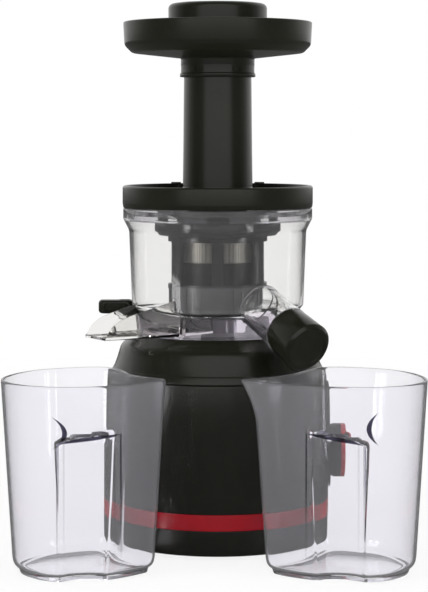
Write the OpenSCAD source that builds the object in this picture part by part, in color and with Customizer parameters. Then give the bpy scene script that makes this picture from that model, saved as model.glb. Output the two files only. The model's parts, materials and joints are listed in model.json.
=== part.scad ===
// Vertical cold press juicer: a round motor base, a clear bowl with a spout and a pulp chute,
// a strainer and an auger inside it, a lid with a feed tube, a tray, a pusher and two cups.
// Millimetres. +Z is up and the front faces -Y. The origin is the middle of the foot ring,
// on the table. Every turning inner part is shared out around the vertical axis X = Y = 0.

/* [Base] */
// Widest radius of the motor base
base_r = 83; // [74:1:96]
// Height of the widest place of the base
base_mid_z = 100; // [70:1:115]
// Radius of the base at its foot
base_foot_r = 80.6; // [70:0.1:92]
// Height of the seam between housing and shoulder
seam_z = 126; // [122:1:134]
// Radius of the base at that seam
seam_r = 81.8; // [72:0.1:94]
// Wall of the housings
base_wall = 3; // [2:0.1:4]
// Gap under the housing, where the foot ring shows
foot_gap = 2.5; // [1.5:0.1:5]
// Top of the shoulder's steep side
corner_z = 148.7; // [144:0.1:152]
// Radius of the corner there
corner_r = 73; // [68:0.5:80]
// Height of the platform that the bowl stands on
platform_z = 157; // [153:0.5:164]
// Lower edge of the coloured band
band_z = 21; // [16:1:60]
// Height of the coloured band
band_h = 12; // [5:1:20]
// Depth of the coloured band in the housing
band_depth = 1.4; // [0.8:0.1:2]
// Height of the cord inlet's middle
inlet_z = 12; // [11:1:60]

/* [Knob] */
// How far the flat face of the switch pod stands out from the middle
pod_x = 84; // [84:0.5:92]
// Width of the switch pod
pod_w = 50; // [42:1:60]
// Lower end of the switch pod
pod_z0 = 40; // [36:1:46]
// Upper end of the switch pod
pod_z1 = 120; // [100:1:122]
// Height of the knob's middle
knob_z = 67.5; // [62:0.5:90]
// Radius of the knob
knob_r = 20; // [15:0.5:21]
// Length of the knob
knob_l = 13; // [10:0.5:20]
// Length of the coloured ring at the knob's face
knob_ring_l = 4; // [2:0.5:6]

/* [Drive] */
// Teeth of the small gears in the gearbox
pinion_teeth = 14; // [14:1:16]
// Teeth of the large gears in the gearbox
wheel_teeth = 56; // [50:1:58]
// Tooth module in the gearbox
gearbox_module = 1; // [0.9:0.05:1.05]
// Width across the flats of the drive hexagon
hex_af = 9.8; // [8:0.1:10]
// Radius of the motor's case
motor_r = 45; // [38:0.5:45]
// Radius of the output shaft's round part
output_r = 8; // [7:0.1:8]
// Radius of the motor shaft
motor_shaft_r = 4; // [3:0.1:5]

/* [Bowl] */
// Outer radius of the bowl's flange
flange_r = 72; // [70:0.5:84]
// Outer radius of the bowl's wall under the flange
bowl_top_r = 67.5; // [64:0.5:80]
// Outer radius of the bowl's wall at its floor
bowl_low_r = 65.2; // [62:0.5:78]
// Outer radius of the skirt that stands on the base
skirt_r = 61.6; // [58:0.2:61.8]
// Wall of the bowl
bowl_wall = 2.5; // [1.8:0.1:3]
// Top face of the bowl's floor
bowl_floor_z = 176; // [175:0.5:178]
// Top of the bowl's rim
bowl_rim_z = 252; // [248:0.5:272]
// Angle of the juice spout from +X
spout_yaw = -56.6; // [-70:0.1:-40]
// Angle of the juice spout below level
spout_tilt = 22.8; // [10:0.1:30]
// Outer radius of the juice spout
spout_r = 16.8; // [13:0.1:17.5]
// Distance of the spout's stop flange from the middle
spout_stop = 93; // [90:1:100]
// Length of the spout's cap
cap_l = 28; // [24:1:34]
// Middle of the pulp port in the floor, X
port_x = -13; // [-14:0.5:-12]
// Middle of the pulp port in the floor, Y
port_y = -20; // [-21:0.5:-19]
// Near wall of the pulp chute
chute_near_y = -57; // [-60:0.5:-54]
// Far wall of the pulp chute
chute_far_y = -19.5; // [-26:0.5:-18]
// Tip of the chute's near wall
chute_near_x = -83; // [-90:0.5:-76]
// Tip of the chute's far wall
chute_far_x = -99.6; // [-108:0.5:-90]

/* [Strainer and auger] */
// Outer radius of the strainer's screen
screen_r = 31.8; // [31.5:0.1:31.9]
// Outer radius of the wiper basket
basket_r = 37.8; // [37.8:0.1:44]
// Top of the wiper basket
basket_z1 = 231; // [215:1:240]
// Radius of the auger's flights
auger_r = 28; // [24:0.1:28.1]
// Teeth of the auger's gear
sun_teeth = 14; // [14:1:14]
// Teeth of the idler gears
idler_teeth = 16; // [16:1:16]
// Tooth module in the bowl
bowl_module = 1.5; // [1.5:0.01:1.5]

/* [Lid, tray and pusher] */
// Outer radius of the lid
lid_r = 72.5; // [70:0.5:85]
// Top of the lid's rim
lid_top_z = 269; // [264:0.5:290]
// How far the feed tube stands behind the middle
tube_y = 14; // [9:0.5:20]
// Outer radius of the feed tube
tube_r = 26; // [24:0.5:31]
// Wall of the feed tube
tube_wall = 2.5; // [2:0.1:3]
// Top of the feed tube
tube_top_z = 361; // [330:1:430]
// Outer radius of the tray
tray_r = 72.7; // [60:0.5:87]
// Height of the tray's rim above the top of the tube
tray_h = 33.3; // [26:0.5:40]
// Radius of the pusher's cap
pusher_r = 38; // [32:0.5:45]
// How far the pusher's cap stands above the tray's rim
pusher_proud = 14.6; // [8:0.2:20]
// Length of the pusher's stem in the feed tube
stem_l = 70; // [50:1:85]
// Gap between the pusher's stem and the feed tube
stem_gap = 0.9; // [0.6:0.1:2]

/* [Cups] */
// Height of the cups
cup_h = 136; // [112:1:140]
// Wall of the cups
cup_wall = 2; // [1.6:0.1:3]
// Size of a cup's foot as a share of its rim
cup_taper = 0.85; // [0.8:0.01:0.95]
// Top of the finger groove
grip_z = 100; // [70:1:105]
// Depth of the finger groove
grip_depth = 15; // [8:0.5:16]
// Width of the finger groove
grip_w = 52; // [40:1:56]

/* [Fits] */
// Radial play of a shaft in its hole
run_fit = 0.05; // [0.02:0.01:0.1]
// Gap between pieces that lift off each other
lift_gap = 0.3; // [0.2:0.05:0.5]
// Gap between pieces that pass each other when they move
pass_gap = 0.6; // [0.4:0.1:1]
// Play along the pitch circle, taken off each tooth
tooth_play = 0.16; // [0.1:0.01:0.25]

/* [Hidden] */
$fn = 96;
eps = 0.01;

// Base
base_steps = 10;                      // straight steps in each curved stretch of the base
platform_r = skirt_r + 0.5;
lip_l = 8;                            // how far the shoulder reaches down inside the housing
lip_t = 2.2;
plate_z = foot_gap + 1;               // underside of the bottom plate, a little up inside
plate_t = 3;
plate_gap = 0.3;
foot_r0 = base_foot_r - 25;
foot_r1 = base_foot_r - 13;
screw_r = 1.6;
screw_head_r = 3.2;
screw_ring_r = base_foot_r - 8.5;     // circle of the bottom screws
screw_angles = [45, 135, 225, 315];
vent_n = 12;                          // air slots in the bottom plate
bush_hole_r = 7.2;                    // hole for the switch's bush in the housing and pod
inlet_r = 5;
inlet_flange_r = 7.5;
board_y = -62;                        // plane of the control board
board_z = 28;
board_t = 1.6;

// Drive
axis_gap = gearbox_module * (pinion_teeth + wheel_teeth) / 2;
wheel_r = gearbox_module * wheel_teeth / 2;
gearbox_in_r = wheel_r + gearbox_module + 1.5;
gearbox_wall = 2.5;
gearbox_out_r = gearbox_in_r + gearbox_wall;
gear_h = 8;
gearbox_z = 85;                       // underside of the gearbox
low_gear_z = gearbox_z + 6;           // first pair of gears
high_gear_z = low_gear_z + gear_h + 2; // second pair of gears
cover_z = high_gear_z + gear_h + 3;
cover_t = 3;
bearing_r = output_r + 3;
bearing_h = 8;
ear_r = 49.5;                         // circle of the gearbox screws
ear_w = 9;
ear_root_r = gearbox_out_r - gearbox_wall / 2;
ear_angles = [-90, 20, 160];
platform_t = 3;
motor_z0 = 25;
core_z0 = 37;
core_h = 30;
core_r = 26.5;                        // radius of the turning core
fan_z0 = 11;
fan_h = 9;
hub_r = 12.5;
hub_top_z = bowl_floor_z - bowl_wall - 1.5;
hex_top_z = bowl_floor_z + 20;
hex_r = hex_af / 2 / cos(30);         // corner radius of the hexagon
pin_r = 3;                            // countershaft pin

// Bowl
taper_z = bowl_rim_z - 17;            // where the wall begins under the flange's cone
cone_z = bowl_rim_z - 8;              // where the cone meets the flange
step_z = bowl_floor_z + 2.5;          // where the wall steps in to the skirt
floor_under_z = bowl_floor_z - bowl_wall;
spout_z = 204.7;                      // where the spout's line crosses the vertical axis
spout_bore_r = spout_r - 3.2;
spout_neck_r = spout_r - 1.2;
stop_l = 6.5;
cap_gap = 0.5;
cap_start = spout_stop + stop_l + cap_gap;
neck_end = cap_start + 12;
cap_end = cap_start + cap_l;
cap_r0 = spout_r + 0.8;               // radius of the cap at its mouth
cap_r1 = cap_r0 + 1;                  // radius of the cap at its closed end
cap_wall = 2.5;
drip_r = 5;                           // hole that the juice drips from
drip_from_end = 10;
port_r = 7.2;
chute_tip_z = 155.3;
chute_root_z = platform_z + 4;
chute_t = 2;
journal_r = 7.5;                      // auger's journal in the floor
seal_r = journal_r + 2;
seal_seat = 0.6;                      // depth of the pins' blind holes above the underside
floor_r = skirt_r - bowl_wall;        // where the floor joins the bowl's ring
collar_r = hub_r + lift_gap + 1.6;

// Gears in the bowl
ring_teeth = sun_teeth + 2 * idler_teeth;
sun_r = bowl_module * sun_teeth / 2;
idler_r = bowl_module * idler_teeth / 2;
ring_r = bowl_module * ring_teeth / 2;
idler_axis_r = sun_r + idler_r;
port_angle = atan2(port_y, port_x);
idler_angles = [port_angle + 120, port_angle - 120];
bowl_gear_z = bowl_floor_z + 1;
bowl_gear_h = 6;
idler_pin_r = 2.5;

// Strainer, basket and auger
plate_low_z = bowl_gear_z + bowl_gear_h + 2;   // underside of the strainer's bottom
screen_t = 0.4;
frame_r1 = screen_r - screen_t - 0.02;
frame_t = 2.9;
frame_r0 = frame_r1 - frame_t;
frame_bars = 10;
frame_window_w = 14.8;
post_r = 3;
port_out_r = port_r - 0.2;            // outer radius of the pulp port's sleeve
port_wall = 1.6;
plate_low_t = 2.5;
screen_z0 = plate_low_z + 6;
screen_z1 = basket_z1 - 3;
funnel_z0 = basket_z1 + pass_gap;
funnel_z1 = funnel_z0 + 10.4;
funnel_r = 48;
funnel_t = 3;
basket_in_r = screen_r + pass_gap;
basket_band_z = bowl_floor_z + 17;    // top of the ribbed band
basket_band_r = ring_r + 2.1;
basket_bars = 6;
basket_bar_w = 9;
rib_n = 36;
blade_t = 1.6;
blade_slot = 0.05;
basket_angles = [for (k = [0:basket_bars - 1]) 360 * (k + 0.5) / basket_bars];
core_low_r = 13.5;
core_wide_r = 22;
core_top_r = 9;
auger_z0 = plate_low_z + plate_low_t + pass_gap;
auger_wide_z = auger_z0 + 8;
auger_top_z = basket_z1 + 3;
pivot_r = 4.5;
pivot_l = 15;
flight_turn = 330;                    // degrees that an auger blade winds through
flight_steps = 44;

// Lid, tray and pusher
lid_z0 = bowl_rim_z + lift_gap;
lid_wall = 2.5;
lid_deck_z = lid_top_z - 7;           // top face of the sunk deck
lid_under_z = lid_deck_z - lid_wall;
lid_skirt_r = flange_r - bowl_wall - 1;
lid_skirt_t = 2.2;
gasket_in = 1.2;                      // depth of the gasket's groove
tab_x = 33;                           // place of the lid's two small tabs
tab_w = 8;
tab_t = 4;
tab_proud = 3;
lid_skirt_z = bowl_rim_z - 9;
tube_in_r = tube_r - tube_wall;
throat_r = tube_in_r - 3;             // opening of the throat under the deck
throat_z = funnel_z1 + 0.8;
bush_r = 7;
bush_h = 10;
bush_z = auger_top_z + 6;
boss_r = bush_r + 2;
throat_gap = 0.3;
tray_wall = 2.5;
tray_collar_r = tube_r + 2.4;
tray_collar_l = 9;
notch_n = 6;                          // notches in the collar
notch_w = 7;
tray_rim_z = tube_top_z + tray_h;
tray_floor_z = tube_top_z + lift_gap; // underside of the tray's inner ledge
tray_low_r = 62;                      // where the tray's underside starts to curve up
tray_slope = 6;                       // rise of the tray's floor from the collar to there
tray_corner = 10.5;                   // radius of the tray's lower edge
cap_top_z = tray_rim_z + pusher_proud;
cap_low_z = tray_floor_z + tray_wall * 2 + 3.4;
stem_r = tube_in_r - stem_gap;
stem_z0 = tube_top_z - stem_l;
pusher_wall = 2.5;

// Pulp lever
lever_x = -71.5;
lever_y = 16;
lever_z = 166.5;
lever_h = 14;
lever_l = 20.2;
lever_w = 13;
lever_pin_r = 3;
lever_screw_r = lever_pin_r - 1;
ear_t = 3;
ear_gap = 0.3;
ear_root_w = 12;

// Rim of the pulp cup, anticlockwise from its outer side; the juice cup has its own.
pulp_rim = [
    [-153, -110], [-148, -134], [-131, -154], [-108, -163], [-86, -161], [-64, -150],
    [-47, -134], [-39, -119], [-51, -105], [-62, -88], [-69, -66], [-80, -48],
    [-98, -46], [-128, -60], [-145, -82],
];
pulp_mid = [-94, -110];
// Rim of the juice cup, whose corner nearest the middle is drawn out to a pouring lip.
juice_rim = [
    [148, -110], [141, -82], [125, -60], [96, -46], [76, -48], [64, -66],
    [54, -86], [40, -104], [25, -122], [32, -136], [56, -153], [84, -162],
    [107, -163], [129, -154], [144, -134],
];
juice_mid = [90, -110];
lip_reach = 9;
lip_top = 30;                         // height of the part of the wall that the lip takes
pulp_grip_x = -84;
juice_grip_x = 84;
grip_y = -158;                        // front of the cups where the groove is

// ---- shared shapes ----

// A tube between two heights
module tube(r_in, r_out, z0, z1) {
    translate([0, 0, z0]) difference() {
        cylinder(r = r_out, h = z1 - z0);
        translate([0, 0, -1]) cylinder(r = r_in, h = z1 - z0 + 2);
    }
}

// A round bar between two heights
module bar(r, z0, z1) translate([0, 0, z0]) cylinder(r = r, h = z1 - z0);

// Children copied to each angle, at a distance from the middle
module around(angles, r) for (a = angles) rotate([0, 0, a]) translate([r, 0, 0]) children();

// Children turned so that their +Z points along +X, at a height
module along_x(z) translate([0, 0, z]) rotate([0, 90, 0]) children();

// Children whose +Z runs out along the juice spout
module along_spout() {
    translate([0, 0, spout_z]) rotate([0, 90 + spout_tilt, spout_yaw]) children();
}

// Outline of an involute gear with a tooth on +X. up and down are the tooth's height above
// and depth below the pitch circle, and play is what each tooth is thinner by.
function flank(rb, roll, half) =
    let (turn = half - (roll * 180 / PI - atan(roll)))
    rb * sqrt(1 + roll * roll) * [cos(turn), sin(turn)];
function roll_at(rb, r) = r <= rb ? 0 : sqrt(r * r / (rb * rb) - 1);
function gear_points(teeth, mod, up, down, play) =
    let (
        rp = mod * teeth / 2,
        rb = rp * cos(20),
        rr = rp - down,
        half = 90 / teeth - play / rp * 90 / PI + (tan(20) * 180 / PI - 20),
        rolls = [for (k = [0:3]) let (a = roll_at(rb, rr), b = roll_at(rb, rp + up)) a + (b - a) * k / 3],
        rise = [for (t = rolls) flank(rb, t, half)],
        root = rr * [cos(half + 0.01), sin(half + 0.01)],
        side = rr < rb ? concat([root], rise) : rise,
        tooth = concat([for (p = side) [p.x, -p.y]], [for (k = [len(side) - 1:-1:0]) side[k]])
    )
    [for (n = [0:teeth - 1]) for (p = tooth)
        let (a = 360 * n / teeth) [p.x * cos(a) - p.y * sin(a), p.x * sin(a) + p.y * cos(a)]];

module gear(teeth, mod, h, play = tooth_play) {
    linear_extrude(h) polygon(gear_points(teeth, mod, 0.8 * mod, 1.05 * mod, play));
}

// Points of a closed smooth curve through the corners of an outline
function smooth(p, per = 4) = [for (i = [0:len(p) - 1]) for (k = [0:per - 1])
    let (
        n = len(p), t = k / per, a = p[(i + n - 1) % n], b = p[i],
        c = p[(i + 1) % n], d = p[(i + 2) % n]
    )
    0.5 * (2 * b + (c - a) * t + (2 * a - 5 * b + 4 * c - d) * t * t
        + (3 * b - 3 * c + d - a) * t * t * t)];

// A solid through anticlockwise outlines of as many points each, one above the other
module loft(outlines, heights) {
    n = len(outlines[0]);
    m = len(outlines);
    points = [for (k = [0:m - 1]) for (p = outlines[k]) [p.x, p.y, heights[k]]];
    bottom = [[for (i = [0:n - 1]) i]];
    top = [[for (i = [0:n - 1]) m * n - 1 - i]];
    sides = [for (k = [0:m - 2]) for (i = [0:n - 1]) let (a = k * n + i, b = k * n + (i + 1) % n)
        each [[a, a + n, b + n], [a, b + n, b]]];
    polyhedron(points = points, faces = concat(bottom, top, sides), convexity = 6);
}

// ---- motor base ----

function base_radius(z) = z < base_mid_z
    ? base_r - (base_r - base_foot_r) * pow((base_mid_z - z) / (base_mid_z - foot_gap), 2)
    : base_r - (base_r - seam_r) * pow((z - base_mid_z) / (seam_z - base_mid_z), 2);
function base_side(inset, z0, z1) = [for (k = [0:base_steps])
    let (z = z0 + (z1 - z0) * k / base_steps) [base_radius(z) - inset, z]];
function turned_back(p) = [for (k = [len(p) - 1:-1:0]) p[k]];

// Everything inside the outer face of the housing
module base_envelope() {
    rotate_extrude() polygon(concat([[0, foot_gap]], base_side(0, foot_gap, seam_z), [[0, seam_z]]));
}

module foot_ring() {
    color("dimgray") tube(foot_r0, foot_r1, 0, plate_z);
}

module bottom_plate() {
    color([0.1, 0.1, 0.1]) difference() {
        union() {
            bar(base_foot_r - base_wall - plate_gap, plate_z, plate_z + plate_t);
            for (s = [-1, 1])
                translate([s * 20 - 3, board_y - 3, plate_z]) cube([6, 6, board_z - plate_z]);
        }
        around(screw_angles, screw_ring_r) bar(screw_r + run_fit, 0, plate_z + plate_t + 1);
        around([for (k = [0:vent_n - 1]) 360 * k / vent_n], 20)
            translate([0, -2, 0]) cube([22, 4, plate_z + plate_t + 1]);
    }
}

module base_housing() {
    color([0.12, 0.12, 0.11]) difference() {
        union() {
            rotate_extrude() polygon(concat(
                base_side(0, foot_gap, seam_z),
                turned_back(base_side(base_wall, foot_gap, seam_z))
            ));
            intersection() {
                base_envelope();
                around(screw_angles, screw_ring_r + 2)
                    bar(6, plate_z + plate_t, plate_z + plate_t + 14);
            }
        }
        around(screw_angles, screw_ring_r) bar(screw_r + run_fit, 0, plate_z + plate_t + 11);
        tube(base_radius(band_z) - band_depth, base_r + 5, band_z, band_z + band_h);
        along_x(knob_z) bar(bush_hole_r, base_r - 15, base_r + 5);
        translate([0, base_r - 10, inlet_z]) rotate([-90, 0, 0]) cylinder(r = inlet_r, h = 20);
    }
}

module colour_band() {
    color("crimson") rotate_extrude() polygon(concat(
        base_side(-0.15, band_z + 0.1, band_z + band_h - 0.1),
        [[base_radius(band_z) - band_depth + 0.05, band_z + band_h - 0.1],
         [base_radius(band_z) - band_depth + 0.05, band_z + 0.1]]
    ));
}

// Outer line of the shoulder, from the seam up to the platform's edge
function shoulder_line(inset, drop) = [
    [seam_r - inset, seam_z + 0.6], [seam_r - 1.2 - inset, seam_z + 3.4],
    [seam_r - 3 - inset, seam_z + 5.6 - drop * 0.2],
    [seam_r - 4.6 - inset, seam_z + 8 - drop * 0.4],
    [corner_r + 0.5 - inset, corner_z - 1.2 - drop * 0.5],
    [corner_r - 0.6 - inset, corner_z + 0.3 - drop],
    [platform_r - inset * 0.4, platform_z - drop],
];

module shoulder_cover() {
    boss_z = cover_z + cover_t;
    color([0.12, 0.12, 0.11]) difference() {
        union() {
            rotate_extrude() polygon(concat(
                [[seam_r - base_wall - 0.3 - lip_t, seam_z - lip_l],
                 [seam_r - base_wall - 0.3, seam_z - lip_l],
                 [seam_r - base_wall - 0.3, seam_z + 0.1]],
                shoulder_line(0, 0),
                [[0, platform_z], [0, platform_z - platform_t]],
                turned_back(shoulder_line(base_wall + lip_t - 1, platform_t))
            ));
            around(ear_angles, ear_r) bar(4.5, boss_z, platform_z - 1);
        }
        around(ear_angles, ear_r) bar(screw_r + run_fit, boss_z - 1, boss_z + 13);
        bar(hub_r + 0.1, platform_z - 10, platform_z + 1);
    }
}

module switch_pod() {
    color([0.1, 0.1, 0.1]) difference() {
        union() {
            translate([pod_x - 20, -pod_w / 2, pod_z0 + pod_w / 2])
                cube([20, pod_w, pod_z1 - pod_z0 - pod_w]);
            for (z = [pod_z0 + pod_w / 2, pod_z1 - pod_w / 2])
                along_x(z) bar(pod_w / 2, pod_x - 20, pod_x);
        }
        bar(base_r, foot_gap, seam_z, $fn = 360);
        along_x(knob_z) bar(bush_hole_r, 0, pod_x + 5);
    }
}

module rotary_switch() {
    color("silver") difference() {
        union() {
            translate([base_r - 29, -15, knob_z - 15]) cube([20, 30, 30]);
            along_x(knob_z) bar(7, base_r - 9.5, pod_x - 0.2);
        }
        along_x(knob_z) bar(3 + run_fit, base_r - 24, pod_x + 5);
    }
}

module cord_inlet() {
    color("black") translate([0, 0, inlet_z]) rotate([-90, 0, 0]) difference() {
        union() {
            cylinder(r = inlet_r - run_fit, h = base_foot_r + 3);
            translate([0, 0, base_radius(inlet_z + inlet_flange_r) + 0.05])
                cylinder(r = inlet_flange_r, h = 3.5);
        }
        translate([0, 0, -1]) cylinder(r = inlet_r + 5, h = base_foot_r - 8);
        cylinder(r = 3.2, h = base_foot_r + 20);
    }
}

module control_board() {
    color("darkgreen") translate([-25, board_y - board_t / 2, board_z]) cube([50, board_t, 46]);
    color("black") for (s = [-1, 1])
        translate([s * 14 - 5, board_y + board_t / 2, board_z + 12]) cube([10, 8, 16]);
}

module base_screws() {
    color("silver") around(screw_angles, screw_ring_r) {
        bar(screw_r, plate_z - 0.5, plate_z + plate_t + 10);
        bar(screw_head_r, plate_z - 2, plate_z);
    }
}

// ---- motor and gearbox ----

module motor_case() {
    color("gray") difference() {
        bar(motor_r, motor_z0, gearbox_z);
        bar(motor_r - 2, motor_z0 + 2, gearbox_z - 2);
        bar(motor_shaft_r + run_fit, motor_z0 - 1, gearbox_z + 1);
        around([for (k = [0:7]) 45 * k], 15)
            translate([0, -2.5, motor_z0 - 1]) cube([16, 5, 4]);
    }
}

module stator_core() {
    color("darkgray") difference() {
        bar(motor_r - 2.05, core_z0, core_z0 + core_h);
        bar(core_r + 0.5, core_z0 - 1, core_z0 + core_h + 1);
    }
}

module stator_windings() {
    color("chocolate") for (z = [core_z0 - 4.2, core_z0 + core_h + 4.2])
        translate([0, 0, z]) rotate_extrude() translate([core_r + 9, 0]) circle(r = 4.2);
}

module motor_rotor() {
    color("silver") union() {
        bar(motor_shaft_r, fan_z0 - 1, low_gear_z + eps);
        bar(core_r, core_z0, core_z0 + core_h);
        translate([0, 0, low_gear_z]) rotate([0, 0, 90]) gear(pinion_teeth, gearbox_module, gear_h);
    }
}

module cooling_fan() {
    color("ivory") difference() {
        union() {
            bar(9, fan_z0, fan_z0 + fan_h);
            around([for (k = [0:8]) 40 * k], 0)
                translate([6, 0, fan_z0]) rotate([35, 0, 0]) translate([0, -0.8, 0])
                    cube([30, 1.6, fan_h]);
        }
        bar(motor_shaft_r, fan_z0 - 2, fan_z0 + fan_h + 2);
        tube(0, 60, fan_z0 - 20, fan_z0);
        tube(0, 60, fan_z0 + fan_h, fan_z0 + fan_h + 20);
    }
}

// Outline shared by the gearbox case and its cover
module gearbox_outline(r) {
    circle(r = r);
    translate([0, axis_gap]) circle(r = r);
}

module gearbox_ears(z0, z1) {
    around(ear_angles, ear_r) bar(ear_w / 2, z0, z1);
    for (a = ear_angles) rotate([0, 0, a])
        translate([ear_root_r, -ear_w / 2, z0]) cube([ear_r - ear_root_r, ear_w, z1 - z0]);
}

module gearbox_case() {
    color("lightgray") difference() {
        union() {
            translate([0, 0, gearbox_z]) linear_extrude(cover_z - gearbox_z)
                gearbox_outline(gearbox_out_r);
            gearbox_ears(cover_z - 5, cover_z);
        }
        translate([0, 0, gearbox_z + 3]) linear_extrude(cover_z - gearbox_z)
            gearbox_outline(gearbox_in_r);
        bar(motor_shaft_r + run_fit, gearbox_z - 1, gearbox_z + 4);
        translate([0, axis_gap, 0]) bar(pin_r, gearbox_z + 1, gearbox_z + 4);
        around(ear_angles, ear_r) bar(screw_r + run_fit, 0, cover_z + 1);
    }
}

module gearbox_cover() {
    color("lightgray") difference() {
        union() {
            translate([0, 0, cover_z]) linear_extrude(cover_t) gearbox_outline(gearbox_out_r);
            gearbox_ears(cover_z, cover_z + cover_t);
            bar(bearing_r + 3, cover_z, cover_z + bearing_h + 1.5);
        }
        bar(bearing_r, cover_z + 1.5, cover_z + bearing_h + 3);
        bar(output_r + 1, cover_z - 1, cover_z + 3);
        translate([0, axis_gap, 0]) bar(pin_r, cover_z - 1, cover_z + cover_t - 1);
        around(ear_angles, ear_r) bar(screw_r + run_fit, 0, cover_z + cover_t + 1);
    }
}

module gearbox_screws() {
    color("silver") around(ear_angles, ear_r) {
        bar(screw_r, cover_z - 5.5, cover_z + cover_t + 12);
        bar(screw_head_r, cover_z - 7, cover_z - 5);
    }
}

module countershaft_pin() {
    color("silver") translate([0, axis_gap, 0]) bar(pin_r, gearbox_z + 1, cover_z + cover_t - 1);
}

module intermediate_gear() {
    phase = -90 + 180 / wheel_teeth;
    color("white") translate([0, axis_gap, 0]) difference() {
        union() {
            translate([0, 0, low_gear_z]) rotate([0, 0, phase])
                gear(wheel_teeth, gearbox_module, gear_h);
            bar(gearbox_module * pinion_teeth / 2 - 1.2, low_gear_z + gear_h - eps, high_gear_z + eps);
            translate([0, 0, high_gear_z]) rotate([0, 0, -90])
                gear(pinion_teeth, gearbox_module, gear_h);
        }
        bar(pin_r + run_fit, low_gear_z - 1, cover_z);
    }
}

module output_gear() {
    color("white") difference() {
        translate([0, 0, high_gear_z]) rotate([0, 0, 90 + 180 / wheel_teeth])
            gear(wheel_teeth, gearbox_module, gear_h);
        bar(output_r, high_gear_z - 1, high_gear_z + gear_h + 1);
    }
}

module output_shaft() {
    color("silver") union() {
        bar(output_r, high_gear_z - 0.5, hub_top_z + 0.4);
        translate([0, 0, hub_top_z]) cylinder(r = hex_r, h = hex_top_z - hub_top_z, $fn = 6);
    }
}

module shaft_bearing() {
    color("silver") tube(output_r + run_fit, bearing_r, cover_z + 1.5, cover_z + 1.5 + bearing_h);
}

module drive_hub() {
    color("gray") difference() {
        union() {
            bar(hub_r, platform_z - 6, hub_top_z);
            bar(hub_r + 8, platform_z - platform_t - 3, platform_z - platform_t);
        }
        bar(output_r + 0.4, platform_z - 10, hub_top_z + 1);
        bar(output_r + 2.2, hub_top_z - 3, hub_top_z + 1);
    }
}

module shaft_seal() {
    color("white") tube(output_r + run_fit, output_r + 2.2, hub_top_z - 3, hub_top_z - 0.2);
}

// ---- knob ----

module control_knob() {
    face = pod_x + 0.4;
    color([0.1, 0.1, 0.1]) union() {
        along_x(knob_z) bar(3, base_r - 23, face + 1);
        along_x(knob_z) bar(knob_r - 1, face, face + knob_l - knob_ring_l);
        along_x(knob_z) bar(knob_r - 5, face, face + knob_l - 0.6);
        along_x(knob_z) around([for (k = [0:29]) 12 * k], knob_r - 1.2)
            translate([0, -0.8, face]) cube([1.1, 1.6, knob_l - knob_ring_l]);
    }
}

module knob_ring() {
    face = pod_x + 0.4;
    color("crimson") along_x(knob_z)
        tube(knob_r - 5, knob_r + 0.2, face + knob_l - knob_ring_l, face + knob_l);
}

// ---- bowl ----

// Outer line of the bowl, from the foot of the skirt up to the rim
function bowl_line(inset) = [
    [skirt_r - inset, platform_z], [skirt_r - inset, step_z - 4.5],
    [bowl_low_r - inset, step_z], [bowl_top_r - inset, taper_z],
    [flange_r - inset, cone_z], [flange_r - inset, bowl_rim_z],
];

// Everything inside the outer face of the bowl
module bowl_envelope() {
    rotate_extrude() polygon(concat([[0, platform_z]], bowl_line(0), [[0, bowl_rim_z]]));
}

// Plan of the pulp duct under the floor and of the chute, grown by w
module duct_plan(w) {
    polygon([
        [port_x + port_r + 0.4 + w, port_y + 5.8 + w],
        [port_x + port_r + 0.4 + w, port_y - port_r - w * 0.4],
        [-31 + w * 0.4, chute_near_y + chute_t - w],
        [chute_near_x - 4, chute_near_y + chute_t - w],
        [chute_far_x - 4, chute_far_y - chute_t + w],
        [-45, chute_far_y - chute_t + w],
        [port_x - 13 - w * 0.6, port_y + 8 + w],
    ]);
}

// Underside of the duct and of the chute at a place along X
function chute_floor(x) = chute_root_z + (chute_tip_z - chute_root_z) * x / chute_far_x;

// Everything above the floor line, raised by up, as far as a height
module above_floor(up, top) {
    translate([0, 100, 0]) rotate([90, 0, 0]) linear_extrude(200) polygon([
        [chute_far_x, chute_tip_z + up], [0, chute_root_z + up], [0, top], [chute_far_x, top],
    ]);
}

// Space in the duct, from its sloping floor to a height, grown by w
module duct_space(w, top) {
    intersection() {
        translate([0, 0, chute_tip_z - 1]) linear_extrude(top - chute_tip_z + 1) duct_plan(w);
        above_floor(chute_t - w, top + 1);
    }
}

module juicing_bowl() {
    color([0.85, 0.84, 0.9, 0.4]) difference() {
        rotate_extrude() polygon(concat(
            bowl_line(0),
            turned_back([for (p = bowl_line(bowl_wall)) if (p.y > step_z - 1) p]),
            [[bowl_low_r - bowl_wall, bowl_floor_z], [floor_r, bowl_floor_z], [floor_r, platform_z]]
        ));
        duct_space(chute_t, floor_under_z);
        intersection() {
            along_spout() bar(spout_bore_r, 30, spout_stop);
            bar(flange_r, bowl_floor_z, bowl_rim_z);
        }
    }
}

// Floor inside the bowl's ring, moulded in one with it
module bowl_floor() {
    color([0.85, 0.84, 0.9, 0.4]) difference() {
        tube(journal_r + run_fit, floor_r, floor_under_z, bowl_floor_z);
        translate([port_x, port_y, 0]) bar(port_r, floor_under_z - 1, bowl_floor_z + 1);
        around(idler_angles, idler_axis_r) bar(idler_pin_r, floor_under_z + seal_seat, bowl_rim_z);
        bar(seal_r, floor_under_z - 1, floor_under_z + 1);
    }
}

// Collar under the floor that drops over the drive hub
module bowl_collar() {
    color([0.85, 0.84, 0.9, 0.4])
        tube(hub_r + lift_gap, collar_r, platform_z + 3, floor_under_z);
}

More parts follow.
